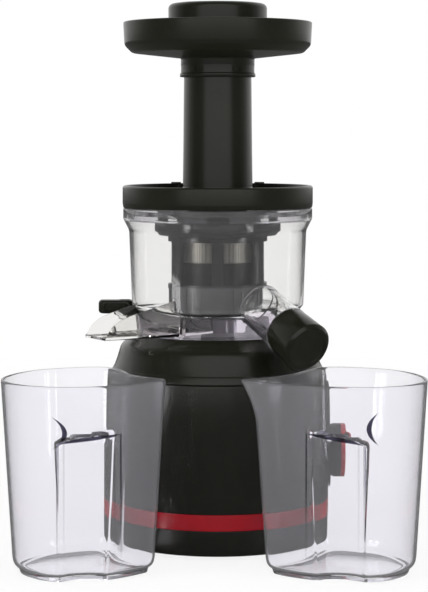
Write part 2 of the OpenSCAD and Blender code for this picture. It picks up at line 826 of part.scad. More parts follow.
// Ear behind the chute that carries the lever
module lever_bracket() {
    ear_z = lever_z - ear_t - ear_gap;
    color([0.85, 0.84, 0.9, 0.4]) difference() {
        union() {
            translate([lever_x, lever_y, 0]) bar(lever_w / 2, ear_z, ear_z + ear_t);
            translate([lever_x, lever_y - ear_root_w / 2, ear_z])
                cube([-lever_x - skirt_r + 12, ear_root_w, ear_t]);
        }
        bar(skirt_r, platform_z, bowl_rim_z);
        translate([lever_x, lever_y, 0]) bar(lever_screw_r + run_fit, 0, bowl_rim_z);
    }
}

// Height of a chute wall's top edge above its tip, at a distance from the tip
function chute_edge(d) = 0.34 * d + 12 * (1 - exp(-d / 5));
module chute_wall(y, tip_x) {
    reach = -tip_x - 20;
    translate([0, y + chute_t, 0]) rotate([90, 0, 0]) linear_extrude(chute_t) polygon(concat(
        [for (d = [0, 1.5, 3, 5, 8, 12, 18, 26, 36, reach])
            [tip_x + d, chute_floor(tip_x) + chute_edge(d)]],
        [[tip_x + reach, chute_floor(tip_x + reach)]]
    ));
}

module pulp_chute() {
    color([0.85, 0.84, 0.9, 0.4]) difference() {
        union() {
            intersection() {
                difference() {
                    duct_space(chute_t, floor_under_z);
                    duct_space(0, floor_under_z + 1);
                }
                bar(skirt_r, platform_z, floor_under_z);
            }
            intersection() {
                difference() {
                    duct_space(chute_t, chute_root_z + 4);
                    above_floor(chute_t, chute_root_z + 10);
                }
                linear_extrude(bowl_rim_z) polygon([
                    [0, 0], [0, chute_near_y], [chute_near_x, chute_near_y],
                    [chute_far_x, chute_far_y], [chute_far_x, 0],
                ]);
            }
            difference() {
                union() {
                    chute_wall(chute_near_y, chute_near_x);
                    chute_wall(chute_far_y - chute_t, chute_far_x);
                }
                bowl_envelope();
            }
        }
        tube(hub_r, collar_r, platform_z, floor_under_z);
    }
}

module juice_spout() {
    color([0.85, 0.84, 0.9, 0.4]) difference() {
        along_spout() union() {
            bar(spout_r, 40, spout_stop + 1);
            bar(spout_r + 0.9, spout_stop, spout_stop + stop_l);
            bar(spout_neck_r, spout_stop + stop_l - 1, neck_end);
        }
        along_spout() bar(spout_bore_r, 30, neck_end + 5);
        along_spout() tube(spout_neck_r - 1, spout_r + 2, cap_start + 4, cap_start + 6.5);
        bowl_envelope();
    }
}

module spout_seal() {
    color("white") along_spout()
        tube(spout_neck_r - 1, spout_neck_r, cap_start + 4.05, cap_start + 6.45);
}

module spout_cap() {
    drip = cap_end - drip_from_end;
    color([0.1, 0.1, 0.1]) along_spout() difference() {
        union() {
            translate([0, 0, cap_start]) cylinder(r1 = cap_r0, r2 = cap_r1, h = cap_l - 2);
            translate([0, 0, cap_end - 2]) cylinder(r1 = cap_r1, r2 = cap_r1 - 2, h = 2);
            translate([0, 0, drip]) rotate([0, 90, 0]) cylinder(r = drip_r + 1.6, h = cap_r1 + 2);
        }
        bar(spout_neck_r + run_fit, cap_start - 1, cap_end - cap_wall);
        translate([0, 0, drip]) rotate([0, 90, 0]) cylinder(r = drip_r, h = cap_r1 + 10);
    }
}

module bowl_seal() {
    color("white") tube(journal_r + run_fit, seal_r, floor_under_z - 0.6, floor_under_z + 0.98);
}

module idler_pins() {
    color("silver") around(idler_angles, idler_axis_r)
        bar(idler_pin_r, floor_under_z + seal_seat, plate_low_z - 0.5);
}

// The idlers' turn that puts them in mesh with the sun gear, which has a tooth on +X
function idler_phase(a) = a + 180 + 180 / idler_teeth + a * sun_teeth / idler_teeth;
module idler_gear(a) {
    color("white") translate([idler_axis_r * cos(a), idler_axis_r * sin(a), bowl_gear_z])
        difference() {
            rotate([0, 0, idler_phase(a)]) gear(idler_teeth, bowl_module, bowl_gear_h);
            bar(idler_pin_r + run_fit, -1, bowl_gear_h + 1);
        }
}
module idler_gear_left() idler_gear(idler_angles[1]);
module idler_gear_right() idler_gear(idler_angles[0]);

// ---- strainer, wiper basket and auger ----

// Cage of the strainer, which the screen is wound round
module strainer_frame() {
    color([0.25, 0.25, 0.27]) difference() {
        tube(frame_r0, frame_r1, plate_low_z + plate_low_t, funnel_z0);
        around([for (k = [0:frame_bars - 1]) 360 * (k + 0.5) / frame_bars], frame_r0 - 2)
            translate([0, -frame_window_w / 2, screen_z0])
                cube([frame_t + 10, frame_window_w, screen_z1 - screen_z0]);
    }
}

// Bottom of the strainer, on two posts that stand beside the idler gears
module strainer_plate() {
    color([0.25, 0.25, 0.27]) difference() {
        union() {
            bar(frame_r1, plate_low_z, plate_low_z + plate_low_t);
            for (a = [-60, 60]) rotate([0, 0, port_angle + a]) translate([idler_axis_r, 0, 0])
                bar(post_r, bowl_floor_z, plate_low_z + 1);
        }
        translate([port_x, port_y, 0]) bar(port_out_r, 0, bowl_rim_z);
        bar(journal_r + 2, plate_low_z - 1, plate_low_z + plate_low_t + 1);
    }
}

// Sleeve that takes the pulp down through the floor
module pulp_port() {
    color([0.25, 0.25, 0.27]) translate([port_x, port_y, 0])
        tube(port_out_r - port_wall, port_out_r, floor_under_z + 0.4, plate_low_z + plate_low_t);
}

// Ring on top of the strainer that catches the juice
module strainer_funnel() {
    color([0.25, 0.25, 0.27]) rotate_extrude() polygon([
        [frame_r0, funnel_z0], [funnel_r - funnel_t, funnel_z0], [funnel_r, funnel_z0 + funnel_t],
        [funnel_r, funnel_z1], [funnel_r - 2, funnel_z1],
        [funnel_r - funnel_t, funnel_z0 + 5], [frame_r0 + 1, funnel_z0 + funnel_t],
    ]);
}

module strainer_screen() {
    color("silver") tube(screen_r - screen_t, screen_r, screen_z0 - 3, screen_z1 + 2);
}

module wiper_basket() {
    ring_phase = idler_angles[0]
        + (idler_phase(idler_angles[0]) - idler_angles[0]) * idler_teeth / ring_teeth;
    low_z = bowl_floor_z + 0.3;
    tooth_z = bowl_gear_z + bowl_gear_h + 0.8;
    color([0.2, 0.2, 0.22]) difference() {
        union() {
            bar(basket_band_r, low_z, basket_band_z);
            around([for (k = [0:rib_n - 1]) 360 * k / rib_n], basket_band_r - 0.5)
                translate([0, -0.9, low_z + 0.7]) cube([1.1, 1.8, basket_band_z - low_z - 1.4]);
            bar(basket_r, basket_band_z - 1, basket_z1);
        }
        bar(basket_in_r, tooth_z, basket_z1 + 1);
        translate([0, 0, low_z - 1]) rotate([0, 0, ring_phase]) linear_extrude(tooth_z - low_z + 1.01)
            polygon(gear_points(ring_teeth, bowl_module, 1.05 * bowl_module,
                0.8 * bowl_module, -tooth_play));
        difference() {
            bar(basket_r + 5, basket_band_z + 2.5, basket_z1 - 4);
            around(basket_angles, basket_in_r - 1) translate([0, -basket_bar_w / 2, 0])
                cube([basket_r, basket_bar_w, basket_z1]);
        }
        around(basket_angles, basket_in_r - 1) translate([0, -blade_t / 2, basket_band_z + 1])
            cube([3.6, blade_t, basket_z1 - basket_band_z + 2]);
    }
}
module wiper_blades() {
    slot_end = basket_in_r + 2.6;
    color("white") around(basket_angles, 0)
        translate([screen_r + 0.1, blade_slot - blade_t / 2, basket_band_z + 1.1])
            cube([slot_end - screen_r - 0.2, blade_t - 2 * blade_slot, basket_z1 - basket_band_z - 2.2]);
}

// One helical blade, wider at its root than at its edge
module auger_flight(h) {
    blade = [[4, -2.6], [auger_r, -1.1], [auger_r, 1.1], [4, 2.6]];
    loft(
        [for (k = [0:flight_steps]) let (a = flight_turn * k / flight_steps)
            [for (p = blade) [p.x * cos(a) - p.y * sin(a), p.x * sin(a) + p.y * cos(a)]]],
        [for (k = [0:flight_steps]) h * k / flight_steps]
    );
}

module auger() {
    color([0.3, 0.3, 0.32]) difference() {
        union() {
            bar(journal_r, floor_under_z - 0.8, auger_z0 + 1);
            translate([0, 0, bowl_gear_z]) gear(sun_teeth, bowl_module, bowl_gear_h);
            translate([0, 0, auger_z0]) cylinder(r1 = core_low_r, r2 = core_wide_r, h = auger_wide_z - auger_z0);
            translate([0, 0, auger_wide_z - eps])
                cylinder(r1 = core_wide_r, r2 = core_top_r, h = auger_top_z - auger_wide_z);
            bar(pivot_r, auger_top_z - 1, auger_top_z + pivot_l);
            translate([0, 0, auger_z0 + 2])
                for (a = [0, 180]) rotate([0, 0, a]) auger_flight(auger_top_z - auger_z0 - 4);
        }
        translate([0, 0, floor_under_z - 2])
            cylinder(r = (hex_af / 2 + run_fit * 2) / cos(30), h = hex_top_z - floor_under_z + 3, $fn = 6);
    }
}

// ---- pulp lever ----

module pulp_lever() {
    color([0.1, 0.1, 0.1]) translate([lever_x, lever_y, lever_z]) difference() {
        union() {
            cylinder(r = lever_w / 2, h = lever_h);
            rotate([0, 0, 180]) translate([0, -lever_w / 2, 0])
                cube([lever_l - lever_w / 2, lever_w, lever_h]);
            translate([-(lever_l - lever_w / 2), 0, 0]) cylinder(r = lever_w / 2, h = lever_h);
        }
        bar(lever_pin_r + run_fit, -1, lever_h - 2);
        bar(lever_pin_r + 1.5, lever_h - 2.5, lever_h + 1);
    }
}

module lever_screw() {
    color("silver") translate([lever_x, lever_y, 0]) union() {
        bar(lever_pin_r, lever_z - 0.3, lever_z + lever_h - 2);
        bar(lever_pin_r + 1.2, lever_z + lever_h - 2.2, lever_z + lever_h - 0.6);
        bar(lever_screw_r, lever_z - ear_t - 1, lever_z);
    }
}

// ---- lid ----

// Rim and sunk deck of the lid, with two small tabs at its back
module lid() {
    color([0.12, 0.12, 0.11]) difference() {
        union() {
            tube(lid_r - lid_wall, lid_r, lid_z0, lid_top_z);
            bar(lid_r - 1, lid_under_z, lid_deck_z);
            for (s = [-1, 1]) translate([s * tab_x - tab_w / 2, lid_r - 12.5, lid_deck_z - 1])
                cube([tab_w, tab_t, lid_top_z - lid_deck_z + 1 + tab_proud]);
        }
        difference() {
            translate([0, tube_y, 0]) bar(throat_r, 0, lid_deck_z + 1);
            bar(boss_r, lid_under_z, lid_deck_z);
        }
    }
}

// Rings under the deck: the skirt that enters the bowl, with the gasket's groove, the boss that
// holds the auger's upper bush, and the throat beside it
module lid_rings() {
    color([0.12, 0.12, 0.11]) union() {
        difference() {
            tube(lid_skirt_r - lid_skirt_t, lid_skirt_r, lid_skirt_z, lid_under_z);
            tube(lid_skirt_r - gasket_in, lid_skirt_r + 1, bowl_rim_z - 5, bowl_rim_z - 2);
        }
        difference() {
            bar(boss_r, bush_z, lid_under_z);
            bar(bush_r, bush_z - 1, bush_z + bush_h + 0.5);
        }
        difference() {
            translate([0, tube_y, 0]) tube(throat_r, throat_r + 2, throat_z, lid_under_z);
            bar(boss_r + throat_gap, throat_z - 1, lid_under_z + 1);
        }
    }
}

module feed_tube() {
    color([0.12, 0.12, 0.11]) translate([0, tube_y, 0]) difference() {
        union() {
            bar(tube_r, lid_deck_z, tube_top_z);
            translate([0, 0, lid_deck_z]) cylinder(r1 = tube_r + 4, r2 = tube_r, h = 5);
        }
        bar(tube_in_r, lid_deck_z - 1, tube_top_z + 1);
    }
}

module lid_gasket() {
    color("white") tube(lid_skirt_r - gasket_in, flange_r - bowl_wall - 0.1,
        bowl_rim_z - 4.95, bowl_rim_z - 2.05);
}

module auger_bush() {
    color("silver") difference() {
        bar(bush_r, bush_z, bush_z + bush_h + 0.5);
        bar(pivot_r + run_fit, bush_z - 1, auger_top_z + pivot_l + 0.5);
    }
}

// ---- tray and pusher ----

function tray_line(w) = concat(
    [[tray_collar_r, tray_floor_z + 2 + w], [tray_low_r, tray_floor_z + 2 + tray_slope + w]],
    [for (a = [-75:15:-15]) [
        tray_r - tray_corner + (tray_corner - w) * cos(a),
        tray_floor_z + 2 + tray_slope + tray_corner + (tray_corner - w) * sin(a)]],
    [[tray_r - w, tray_floor_z + 2 + tray_slope + tray_corner], [tray_r - w, tray_rim_z]]
);

module feed_tray() {
    color([0.12, 0.12, 0.11]) translate([0, tube_y, 0]) rotate_extrude() polygon(concat(
        [[tube_in_r, tray_floor_z], [tray_collar_r, tray_floor_z]],
        tray_line(0), turned_back(tray_line(tray_wall)),
        [[tube_in_r, tray_floor_z + 2 + tray_wall]]
    ));
}

// Notched collar under the tray that slips over the tube's top
module tray_collar() {
    collar_z = tube_top_z - tray_collar_l;
    color([0.12, 0.12, 0.11]) translate([0, tube_y, 0]) difference() {
        union() {
            tube(tube_r + 0.1, tray_collar_r, collar_z, tray_floor_z);
            tube(tube_r + 0.1, tray_collar_r + 0.7, collar_z, collar_z + 2.5);
        }
        for (k = [0:notch_n - 1]) rotate([0, 0, 360 / notch_n * k])
            translate([tube_r + 1.4, -notch_w / 2, collar_z + 4]) cube([5, notch_w, 4]);
    }
}

module pusher_cap() {
    color([0.12, 0.12, 0.11]) translate([0, tube_y, 0]) difference() {
        rotate_extrude() polygon(concat(
            [[0, cap_low_z], [pusher_r, cap_low_z]],
            [for (a = [0:15:90]) [pusher_r - 4 + 4 * cos(a), cap_top_z - 4 + 4 * sin(a)]],
            [[0, cap_top_z]]
        ));
        bar(pusher_r - pusher_wall, cap_low_z - 1, cap_top_z - pusher_wall);
    }
}

module pusher_stem() {
    color([0.12, 0.12, 0.11]) translate([0, tube_y, 0]) difference() {
        bar(stem_r, stem_z0, cap_top_z - pusher_wall);
        bar(stem_r - pusher_wall, stem_z0 + pusher_wall, cap_top_z);
    }
}

// ---- cups ----

function shrunk(p, mid, k) = [for (q = p) mid + k * (q - mid)];
// The same outline moved in along its own normals
function inset(p, w) = let (n = len(p)) [for (i = [0:n - 1])
    let (d = p[(i + 1) % n] - p[(i + n - 1) % n]) p[i] + w / norm(d) * [-d.y, d.x]];

module cup_grip(x, w) {
    half = grip_w / 2;
    r = (half * half + grip_depth * grip_depth) / (2 * grip_depth);
    translate([x, grip_y + grip_depth - r, -1]) cylinder(r = r + w, h = grip_z + 1 + w);
}

module cup(rim, lipped, mid, grip_x) {
    z = [0, cup_h - lip_top, cup_h];
    share = [cup_taper, 1 - (1 - cup_taper) * lip_top / cup_h, 1];
    body = smooth(rim);
    mouth = smooth(lipped);
    in_z0 = cup_wall + 2;
    difference() {
        loft([shrunk(body, mid, share[0]), shrunk(body, mid, share[1]), mouth], z);
        difference() {
            loft([
                inset(shrunk(body, mid, share[0] + (1 - cup_taper) * in_z0 / cup_h), cup_wall),
                inset(shrunk(body, mid, share[1]), cup_wall),
                inset(mouth, cup_wall),
                inset(mouth, cup_wall),
            ], [in_z0, z[1], z[2], z[2] + 1]);
            cup_grip(grip_x, cup_wall);
        }
        cup_grip(grip_x, 0);
    }
}

module pulp_cup() {
    color([0.85, 0.84, 0.9, 0.35]) cup(pulp_rim, pulp_rim, pulp_mid, pulp_grip_x);
}

module juice_cup() {
    lipped = [for (p = juice_rim) p.x < 30 ? p - [lip_reach, 0] : p];
    color([0.85, 0.84, 0.9, 0.35]) cup(juice_rim, lipped, juice_mid, juice_grip_x);
}

foot_ring();
bottom_plate();
base_housing();
colour_band();
shoulder_cover();
switch_pod();
rotary_switch();
cord_inlet();
control_board();
base_screws();
motor_case();
stator_core();
stator_windings();
motor_rotor();
cooling_fan();
gearbox_case();
gearbox_cover();
gearbox_screws();
countershaft_pin();
intermediate_gear();
output_gear();
output_shaft();
shaft_bearing();
drive_hub();
shaft_seal();
control_knob();
knob_ring();
juicing_bowl();
bowl_floor();
bowl_collar();
lever_bracket();
pulp_chute();
juice_spout();
bowl_seal();
idler_pins();
idler_gear_left();
idler_gear_right();
strainer_frame();
strainer_plate();
strainer_funnel();
pulp_port();
strainer_screen();
wiper_basket();
wiper_blades();
auger();
spout_cap();
spout_seal();
pulp_lever();
lever_screw();
lid();
lid_rings();
feed_tube();
lid_gasket();
auger_bush();
feed_tray();
tray_collar();
pusher_cap();
pusher_stem();
pulp_cup();
juice_cup();
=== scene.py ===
import json
from math import atan2, cos, hypot, pi, radians, sin, tan

import bmesh
import bpy
from mathutils import Matrix, Vector

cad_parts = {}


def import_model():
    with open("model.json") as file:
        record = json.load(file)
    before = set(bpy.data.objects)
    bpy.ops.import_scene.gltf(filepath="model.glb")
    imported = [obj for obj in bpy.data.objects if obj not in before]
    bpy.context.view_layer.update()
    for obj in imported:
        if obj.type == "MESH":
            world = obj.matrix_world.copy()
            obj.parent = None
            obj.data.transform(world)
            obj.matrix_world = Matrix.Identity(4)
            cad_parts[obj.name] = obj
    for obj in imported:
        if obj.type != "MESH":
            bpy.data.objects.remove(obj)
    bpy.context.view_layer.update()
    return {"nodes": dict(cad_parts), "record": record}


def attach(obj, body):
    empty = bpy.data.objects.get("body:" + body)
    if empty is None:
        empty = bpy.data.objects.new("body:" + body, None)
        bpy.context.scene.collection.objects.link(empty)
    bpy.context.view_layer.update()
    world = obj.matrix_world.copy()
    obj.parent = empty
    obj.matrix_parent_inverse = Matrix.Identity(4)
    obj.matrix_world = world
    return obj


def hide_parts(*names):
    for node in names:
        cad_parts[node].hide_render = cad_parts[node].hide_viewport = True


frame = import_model()

MM = 0.001
SIDES = 192

# Main sizes of the CAD model, in millimetres
BASE_R, BASE_FOOT_R, BASE_WALL = 83, 80.6, 3
FOOT_TOP, WIDEST_Z, SEAM_Z, PLATFORM_Z = 2.5, 100, 126, 157
SEAM_DRAW = 1.2                   # how far the housing draws in from its widest to its seam
CORD_Z, CORD_HOLE_R, SPINDLE_HOLE_R = 12, 5, 7.2
BOSS_REACH, BOSS_ANGLES = 49.5, (-90, 20, 160)
BAND_Z, BAND_H, BAND_DEPTH = 21, 12, 1.4
POD_X, KNOB_Z, KNOB_R, KNOB_L = 84, 67.5, 20, 13
GRIP_RIBS, GRIP_DEPTH = 30, 0.55
HUB_R = 12.5
SKIRT_R, BOWL_LOW_R, BOWL_TOP_R, FLANGE_R = 61.6, 65.2, 67.5, 72
BOWL_WALL, FLOOR_Z, RIM_Z = 2.5, 176, 252
SPOUT_Z = 204.7
SPOUT_YAW, SPOUT_TILT = -56.6, 22.8
SPOUT_R, SPOUT_STOP, CAP_L = 16.8, 93, 28
CHUTE_FLOOR_Z, CHUTE_SLOPE = 163, (161 - 155.3) / 99.6
RIBS_TOP, SCREEN_LOW = 194, 212   # where the basket's ribbed band and the screen's dark part end
LEVER_X, LEVER_Y, LEVER_Z = -71.5, 16, 166.5
LEVER_L, LEVER_W, LEVER_H, LEVER_UNDER = 20.2, 13, 14, 3.6
LID_R, LID_TOP, DECK_Z = 72.5, 269, 262
TUBE_Y, TUBE_R, TUBE_WALL, TUBE_TOP = 14, 26, 2.5, 361
TRAY_R, TRAY_RIM = 72.7, 394.3
PUSHER_R, PUSHER_TOP, PUSHER_LOW = 38, 408.9, 369.7
CUP_H, CUP_WALL, CUP_TAPER = 136, 2, 0.85


# ---- modelling helpers, all in millimetres ----

def clear():
    bpy.ops.object.select_all(action="DESELECT")


def hold(piece):
    clear()
    piece.select_set(True)
    bpy.context.view_layer.objects.active = piece


def settle(piece):
    hold(piece)
    bpy.ops.object.transform_apply(location=True, rotation=True, scale=True)


def edit(piece, mode="VERT"):
    hold(piece)
    bpy.ops.object.mode_set(mode="EDIT")
    bpy.ops.mesh.select_mode(type=mode)
    bpy.ops.mesh.select_all(action="DESELECT")


def done():
    bpy.ops.object.mode_set(mode="OBJECT")


def chosen(piece, kind, test):
    """Selects the faces or edges of the piece being edited whose middle, in mm, passes the test."""
    mesh = bmesh.from_edit_mesh(piece.data)
    for part in getattr(mesh, kind):
        middle = sum((v.co for v in part.verts), Vector()) / len(part.verts)
        if test(middle / MM, part):
            part.select_set(True)
    bmesh.update_edit_mesh(piece.data)


def rounded(corners, steps=4):
    """Points of a closed outline; a corner with a third number is rounded to that radius."""
    line = []
    for k, corner in enumerate(corners):
        here = Vector(corner[:2])
        if len(corner) < 3:
            line.append(here)
            continue
        before = Vector(corners[k - 1][:2]) - here
        after = Vector(corners[(k + 1) % len(corners)][:2]) - here
        half = before.angle(after) / 2
        reach = min(corner[2] / tan(half), 0.49 * before.length, 0.49 * after.length)
        middle = here + (before.normalized() + after.normalized()).normalized() * reach / cos(half)
        first = here + before.normalized() * reach - middle
        last = here + after.normalized() * reach - middle
        start = atan2(first.y, first.x)
        sweep = (atan2(last.y, last.x) - start + pi) % (2 * pi) - pi
        for step in range(steps + 1):
            angle = start + sweep * step / steps
            line.append(middle + first.length * Vector((cos(angle), sin(angle))))
    return line


def turned(name, corners, centre=(0, 0), sides=SIDES, steps=4):
    """Draws half the section of a round piece, as (radius, height), and spins it."""
    line = rounded(corners, steps)
    solid = abs(line[0].x) < 1e-6 and abs(line[-1].x) < 1e-6
    clear()
    here = line[0]
    bpy.ops.mesh.primitive_plane_add(size=MM, location=(here.x * MM, 0, here.y * MM))
    piece = bpy.context.object
    piece.name = name
    settle(piece)
    edit(piece)
    bpy.ops.mesh.select_all(action="SELECT")
    bpy.ops.mesh.merge(type="CENTER")
    for point in line[1:]:
        move = (point - here) * MM
        bpy.ops.mesh.extrude_region_move(TRANSFORM_OT_translate={"value": (move.x, 0, move.y)})
        here = point
    if not solid:
        bpy.ops.mesh.select_all(action="SELECT")
        bpy.ops.mesh.edge_face_add()
        bpy.ops.mesh.delete(type="ONLY_FACE")
    bpy.ops.mesh.select_all(action="SELECT")
    bpy.ops.mesh.spin(steps=sides, angle=2 * pi, center=(0, 0, 0), axis=(0, 0, 1))
    bpy.ops.mesh.select_all(action="SELECT")
    bpy.ops.mesh.remove_doubles(threshold=MM / 100)
    bpy.ops.mesh.normals_make_consistent(inside=False)
    done()
    piece.location = (centre[0] * MM, centre[1] * MM, 0)
    settle(piece)
    return piece


def block(name, low, high):
    clear()
    middle = [(a + b) / 2 * MM for a, b in zip(low, high)]
    bpy.ops.mesh.primitive_cube_add(size=1, location=middle)
    piece = bpy.context.object
    piece.name = name
    piece.scale = [(b - a) * MM for a, b in zip(low, high)]
    settle(piece)
    return piece


def rod(name, radius, low, high, centre=(0, 0), sides=96):
    return turned(name, [(0, low), (radius, low), (radius, high), (0, high)], centre, sides)


def applied(piece, kind, **settings):
    hold(piece)
    step = piece.modifiers.new("step", kind)
    for key, value in settings.items():
        setattr(step, key, value)
    bpy.ops.object.modifier_apply(modifier=step.name)
    return piece


def soften(piece, width, segments=2, angle=35):
    return applied(piece, "BEVEL", width=width * MM, segments=segments, limit_method="ANGLE",
                   angle_limit=radians(angle), use_clamp_overlap=True)


def combined(piece, tool, operation):
    applied(piece, "BOOLEAN", operation=operation, solver="EXACT", object=tool)
    bpy.data.objects.remove(tool)
    return piece


def cut(piece, tool):
    return combined(piece, tool, "DIFFERENCE")


def fused(piece, tool):
    return combined(piece, tool, "UNION")


def smoothed(piece, angle=35):
    hold(piece)
    bpy.ops.object.shade_smooth_by_angle(angle=radians(angle))
    return piece


def laid_along(piece, direction, start=(0, 0, 0)):
    """Turns a piece modelled upright so that its +Z runs along a direction, +X staying lowest."""
    forward = Vector(direction).normalized()
    down = (Vector((0, 0, -1)) + forward * forward.z).normalized()
    turn = Matrix((down, forward.cross(down), forward)).transposed().to_4x4()
    piece.matrix_world = Matrix.Translation(Vector(start) * MM) @ turn
    settle(piece)
    return piece


def along_knob(piece):
    piece.matrix_world = Matrix.Translation((0, 0, KNOB_Z * MM)) @ Matrix.Rotation(pi / 2, 4, "Y")
    settle(piece)
    return piece


def along_spout(piece):
    yaw, tilt = radians(SPOUT_YAW), radians(SPOUT_TILT)
    way = (cos(tilt) * cos(yaw), cos(tilt) * sin(yaw), -sin(tilt))
    return laid_along(piece, way, (0, 0, SPOUT_Z))


def copied(node, name):
    """A new piece with a copy of a CAD node's mesh, its doubled corners merged."""
    piece = bpy.data.objects.new(name, frame["nodes"][node].data.copy())
    bpy.context.scene.collection.objects.link(piece)
    hold(piece)
    edit(piece)
    bpy.ops.mesh.customdata_custom_splitnormals_clear()
    bpy.ops.mesh.select_all(action="SELECT")
    bpy.ops.mesh.remove_doubles(threshold=MM / 100)
    bpy.ops.mesh.dissolve_limited(angle_limit=radians(0.5))
    done()
    return piece


def dressed(piece, body, nodes, material):
    piece.data.materials.clear()
    piece.data.materials.append(material)
    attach(piece, body)
    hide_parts(*nodes)
    return piece


# ---- materials ----

def shade(red, green, blue):
    """Colour from its 0 to 255 values on a screen."""
    def linear(value):
        value /= 255
        return value / 12.92 if value <= 0.04045 else ((value + 0.055) / 1.055) ** 2.4
    return (linear(red), linear(green), linear(blue), 1)


def maths(tree, kind, *values, clamp=False):
    """A math node on outputs or plain numbers."""
    node = tree.nodes.new("ShaderNodeMath")
    node.operation = kind
    node.use_clamp = clamp
    for socket, value in zip(node.inputs, values):
        if isinstance(value, (int, float)):
            socket.default_value = value
        else:
            tree.links.new(value, socket)
    return node.outputs[0]


def mixed(tree, factor, first, second):
    """The first shader where the factor is 0, and the second where it is 1."""
    node = tree.nodes.new("ShaderNodeMixShader")
    for socket, value in zip(node.inputs, (factor, first, second)):
        tree.links.new(value, socket)
    return node.outputs[0]


class Finish:
    """A Principled material with a few helpers for its nodes."""

    def __init__(self, name, colour, roughness, **sockets):
        self.material = bpy.data.materials.new(name)
        self.material.use_nodes = True
        self.tree = self.material.node_tree
        self.shader = self.tree.nodes["Principled BSDF"]
        self.shader.inputs["Base Color"].default_value = colour
        self.shader.inputs["Roughness"].default_value = roughness
        for key, value in sockets.items():
            self.shader.inputs[key.replace("_", " ")].default_value = value
        self.place = self.node("ShaderNodeTexCoord").outputs["Object"]

    def node(self, kind, **settings):
        node = self.tree.nodes.new(kind)
        for key, value in settings.items():
            setattr(node, key, value)
        return node

    def link(self, output, target):
        self.tree.links.new(output, target)

    def calc(self, kind, *values, clamp=False):
        return maths(self.tree, kind, *values, clamp=clamp)

    def height(self, low, high):
        """0 below one height and 1 above another, both in millimetres."""
        split = self.node("ShaderNodeSeparateXYZ")
        self.link(self.place, split.inputs["Vector"])
        level = self.node("ShaderNodeMapRange")
        level.inputs["From Min"].default_value = low * MM
        level.inputs["From Max"].default_value = high * MM
        self.link(split.outputs["Z"], level.inputs["Value"])
        return level.outputs["Result"]

    def noise(self, size, detail=3, stretch=(1, 1, 1)):
        """Noise whose blotches are about size millimetres across."""
        mapping = self.node("ShaderNodeMapping")
        mapping.inputs["Scale"].default_value = stretch
        self.link(self.place, mapping.inputs["Vector"])
        noise = self.node("ShaderNodeTexNoise")
        noise.inputs["Scale"].default_value = 1 / (size * MM)
        noise.inputs["Detail"].default_value = detail
        self.link(mapping.outputs["Vector"], noise.inputs["Vector"])
        return noise.outputs["Fac"]

    def blend(self, factor, first, second, low=0.35, high=0.65):
        """A colour ramp between two colours, as the factor goes from low to high."""
        ramp = self.node("ShaderNodeValToRGB")
        ramp.color_ramp.elements[0].position = low
        ramp.color_ramp.elements[0].color = first
        ramp.color_ramp.elements[1].position = high
        ramp.color_ramp.elements[1].color = second
        self.link(factor, ramp.inputs["Fac"])
        return ramp.outputs["Color"]

    def spread(self, factor, low, high):
        """The factor taken from 0..1 to low..high."""
        span = self.node("ShaderNodeMapRange")
        span.inputs["To Min"].default_value = low
        span.inputs["To Max"].default_value = high
        self.link(factor, span.inputs["Value"])
        return span.outputs["Result"]

    def colour(self, output):
        self.link(output, self.shader.inputs["Base Color"])

    def roughness(self, output):
        self.link(output, self.shader.inputs["Roughness"])

    def bump(self, height, strength, depth):
        """Bump of the given depth in millimetres, on top of any bump that is there."""
        bump = self.node("ShaderNodeBump")
        bump.inputs["Strength"].default_value = strength
        bump.inputs["Distance"].default_value = depth * MM
        self.link(height, bump.inputs["Height"])
        normal = self.shader.inputs["Normal"]
        if normal.is_linked:
            self.link(normal.links[0].from_socket, bump.inputs["Normal"])
        self.link(bump.outputs["Normal"], normal)


def varied(colour, amount):
    return tuple(c * amount for c in colour[:3]) + (1,)


def moulded(name, colour, roughness, grain=0.35, depth=0.02, **sockets):
    """Moulded plastic: fine grain, slow changes in tone and in gloss, and faint handling marks."""
    finish = Finish(name, colour, roughness, **sockets)
    finish.colour(finish.blend(finish.noise(26, 2), varied(colour, 0.93), varied(colour, 1.07)))
    finish.roughness(finish.spread(finish.noise(9, 5), roughness * 0.86, roughness * 1.14))
    finish.bump(finish.noise(grain, 2), 0.35, depth)
    finish.bump(finish.noise(14, 2), 0.2, depth)
    return finish.material


def polished(finish):
    """The uneven polish and faint waves of clear plastic."""
    finish.roughness(finish.spread(finish.noise(12, 4), 0.01, 0.04))
    finish.bump(finish.noise(22, 2), 0.15, 0.04)
    return finish.material


def clear_plastic(name, colour, ior, shine):
    """See-through plastic, cast a little unevenly."""
    finish = Finish(name, colour, 0.03, IOR=ior, Transmission_Weight=1.0,
                    Specular_IOR_Level=shine)
    finish.colour(finish.blend(finish.noise(60, 2), varied(colour, 0.99), colour))
    return polished(finish)


# The second colour is painted shade for the dark lines at the cups' groove ledge, groove sides and
# dent; a quarter of it darkens the graduation marks
CUP_TINT, CUP_SHADE_AND_MARKS = (0.972, 0.965, 0.998, 1), (0.06, 0.055, 0.09, 1)
FRONT_Y = -125.0                  # the cups' painted shade lines and graduation marks are in front of this
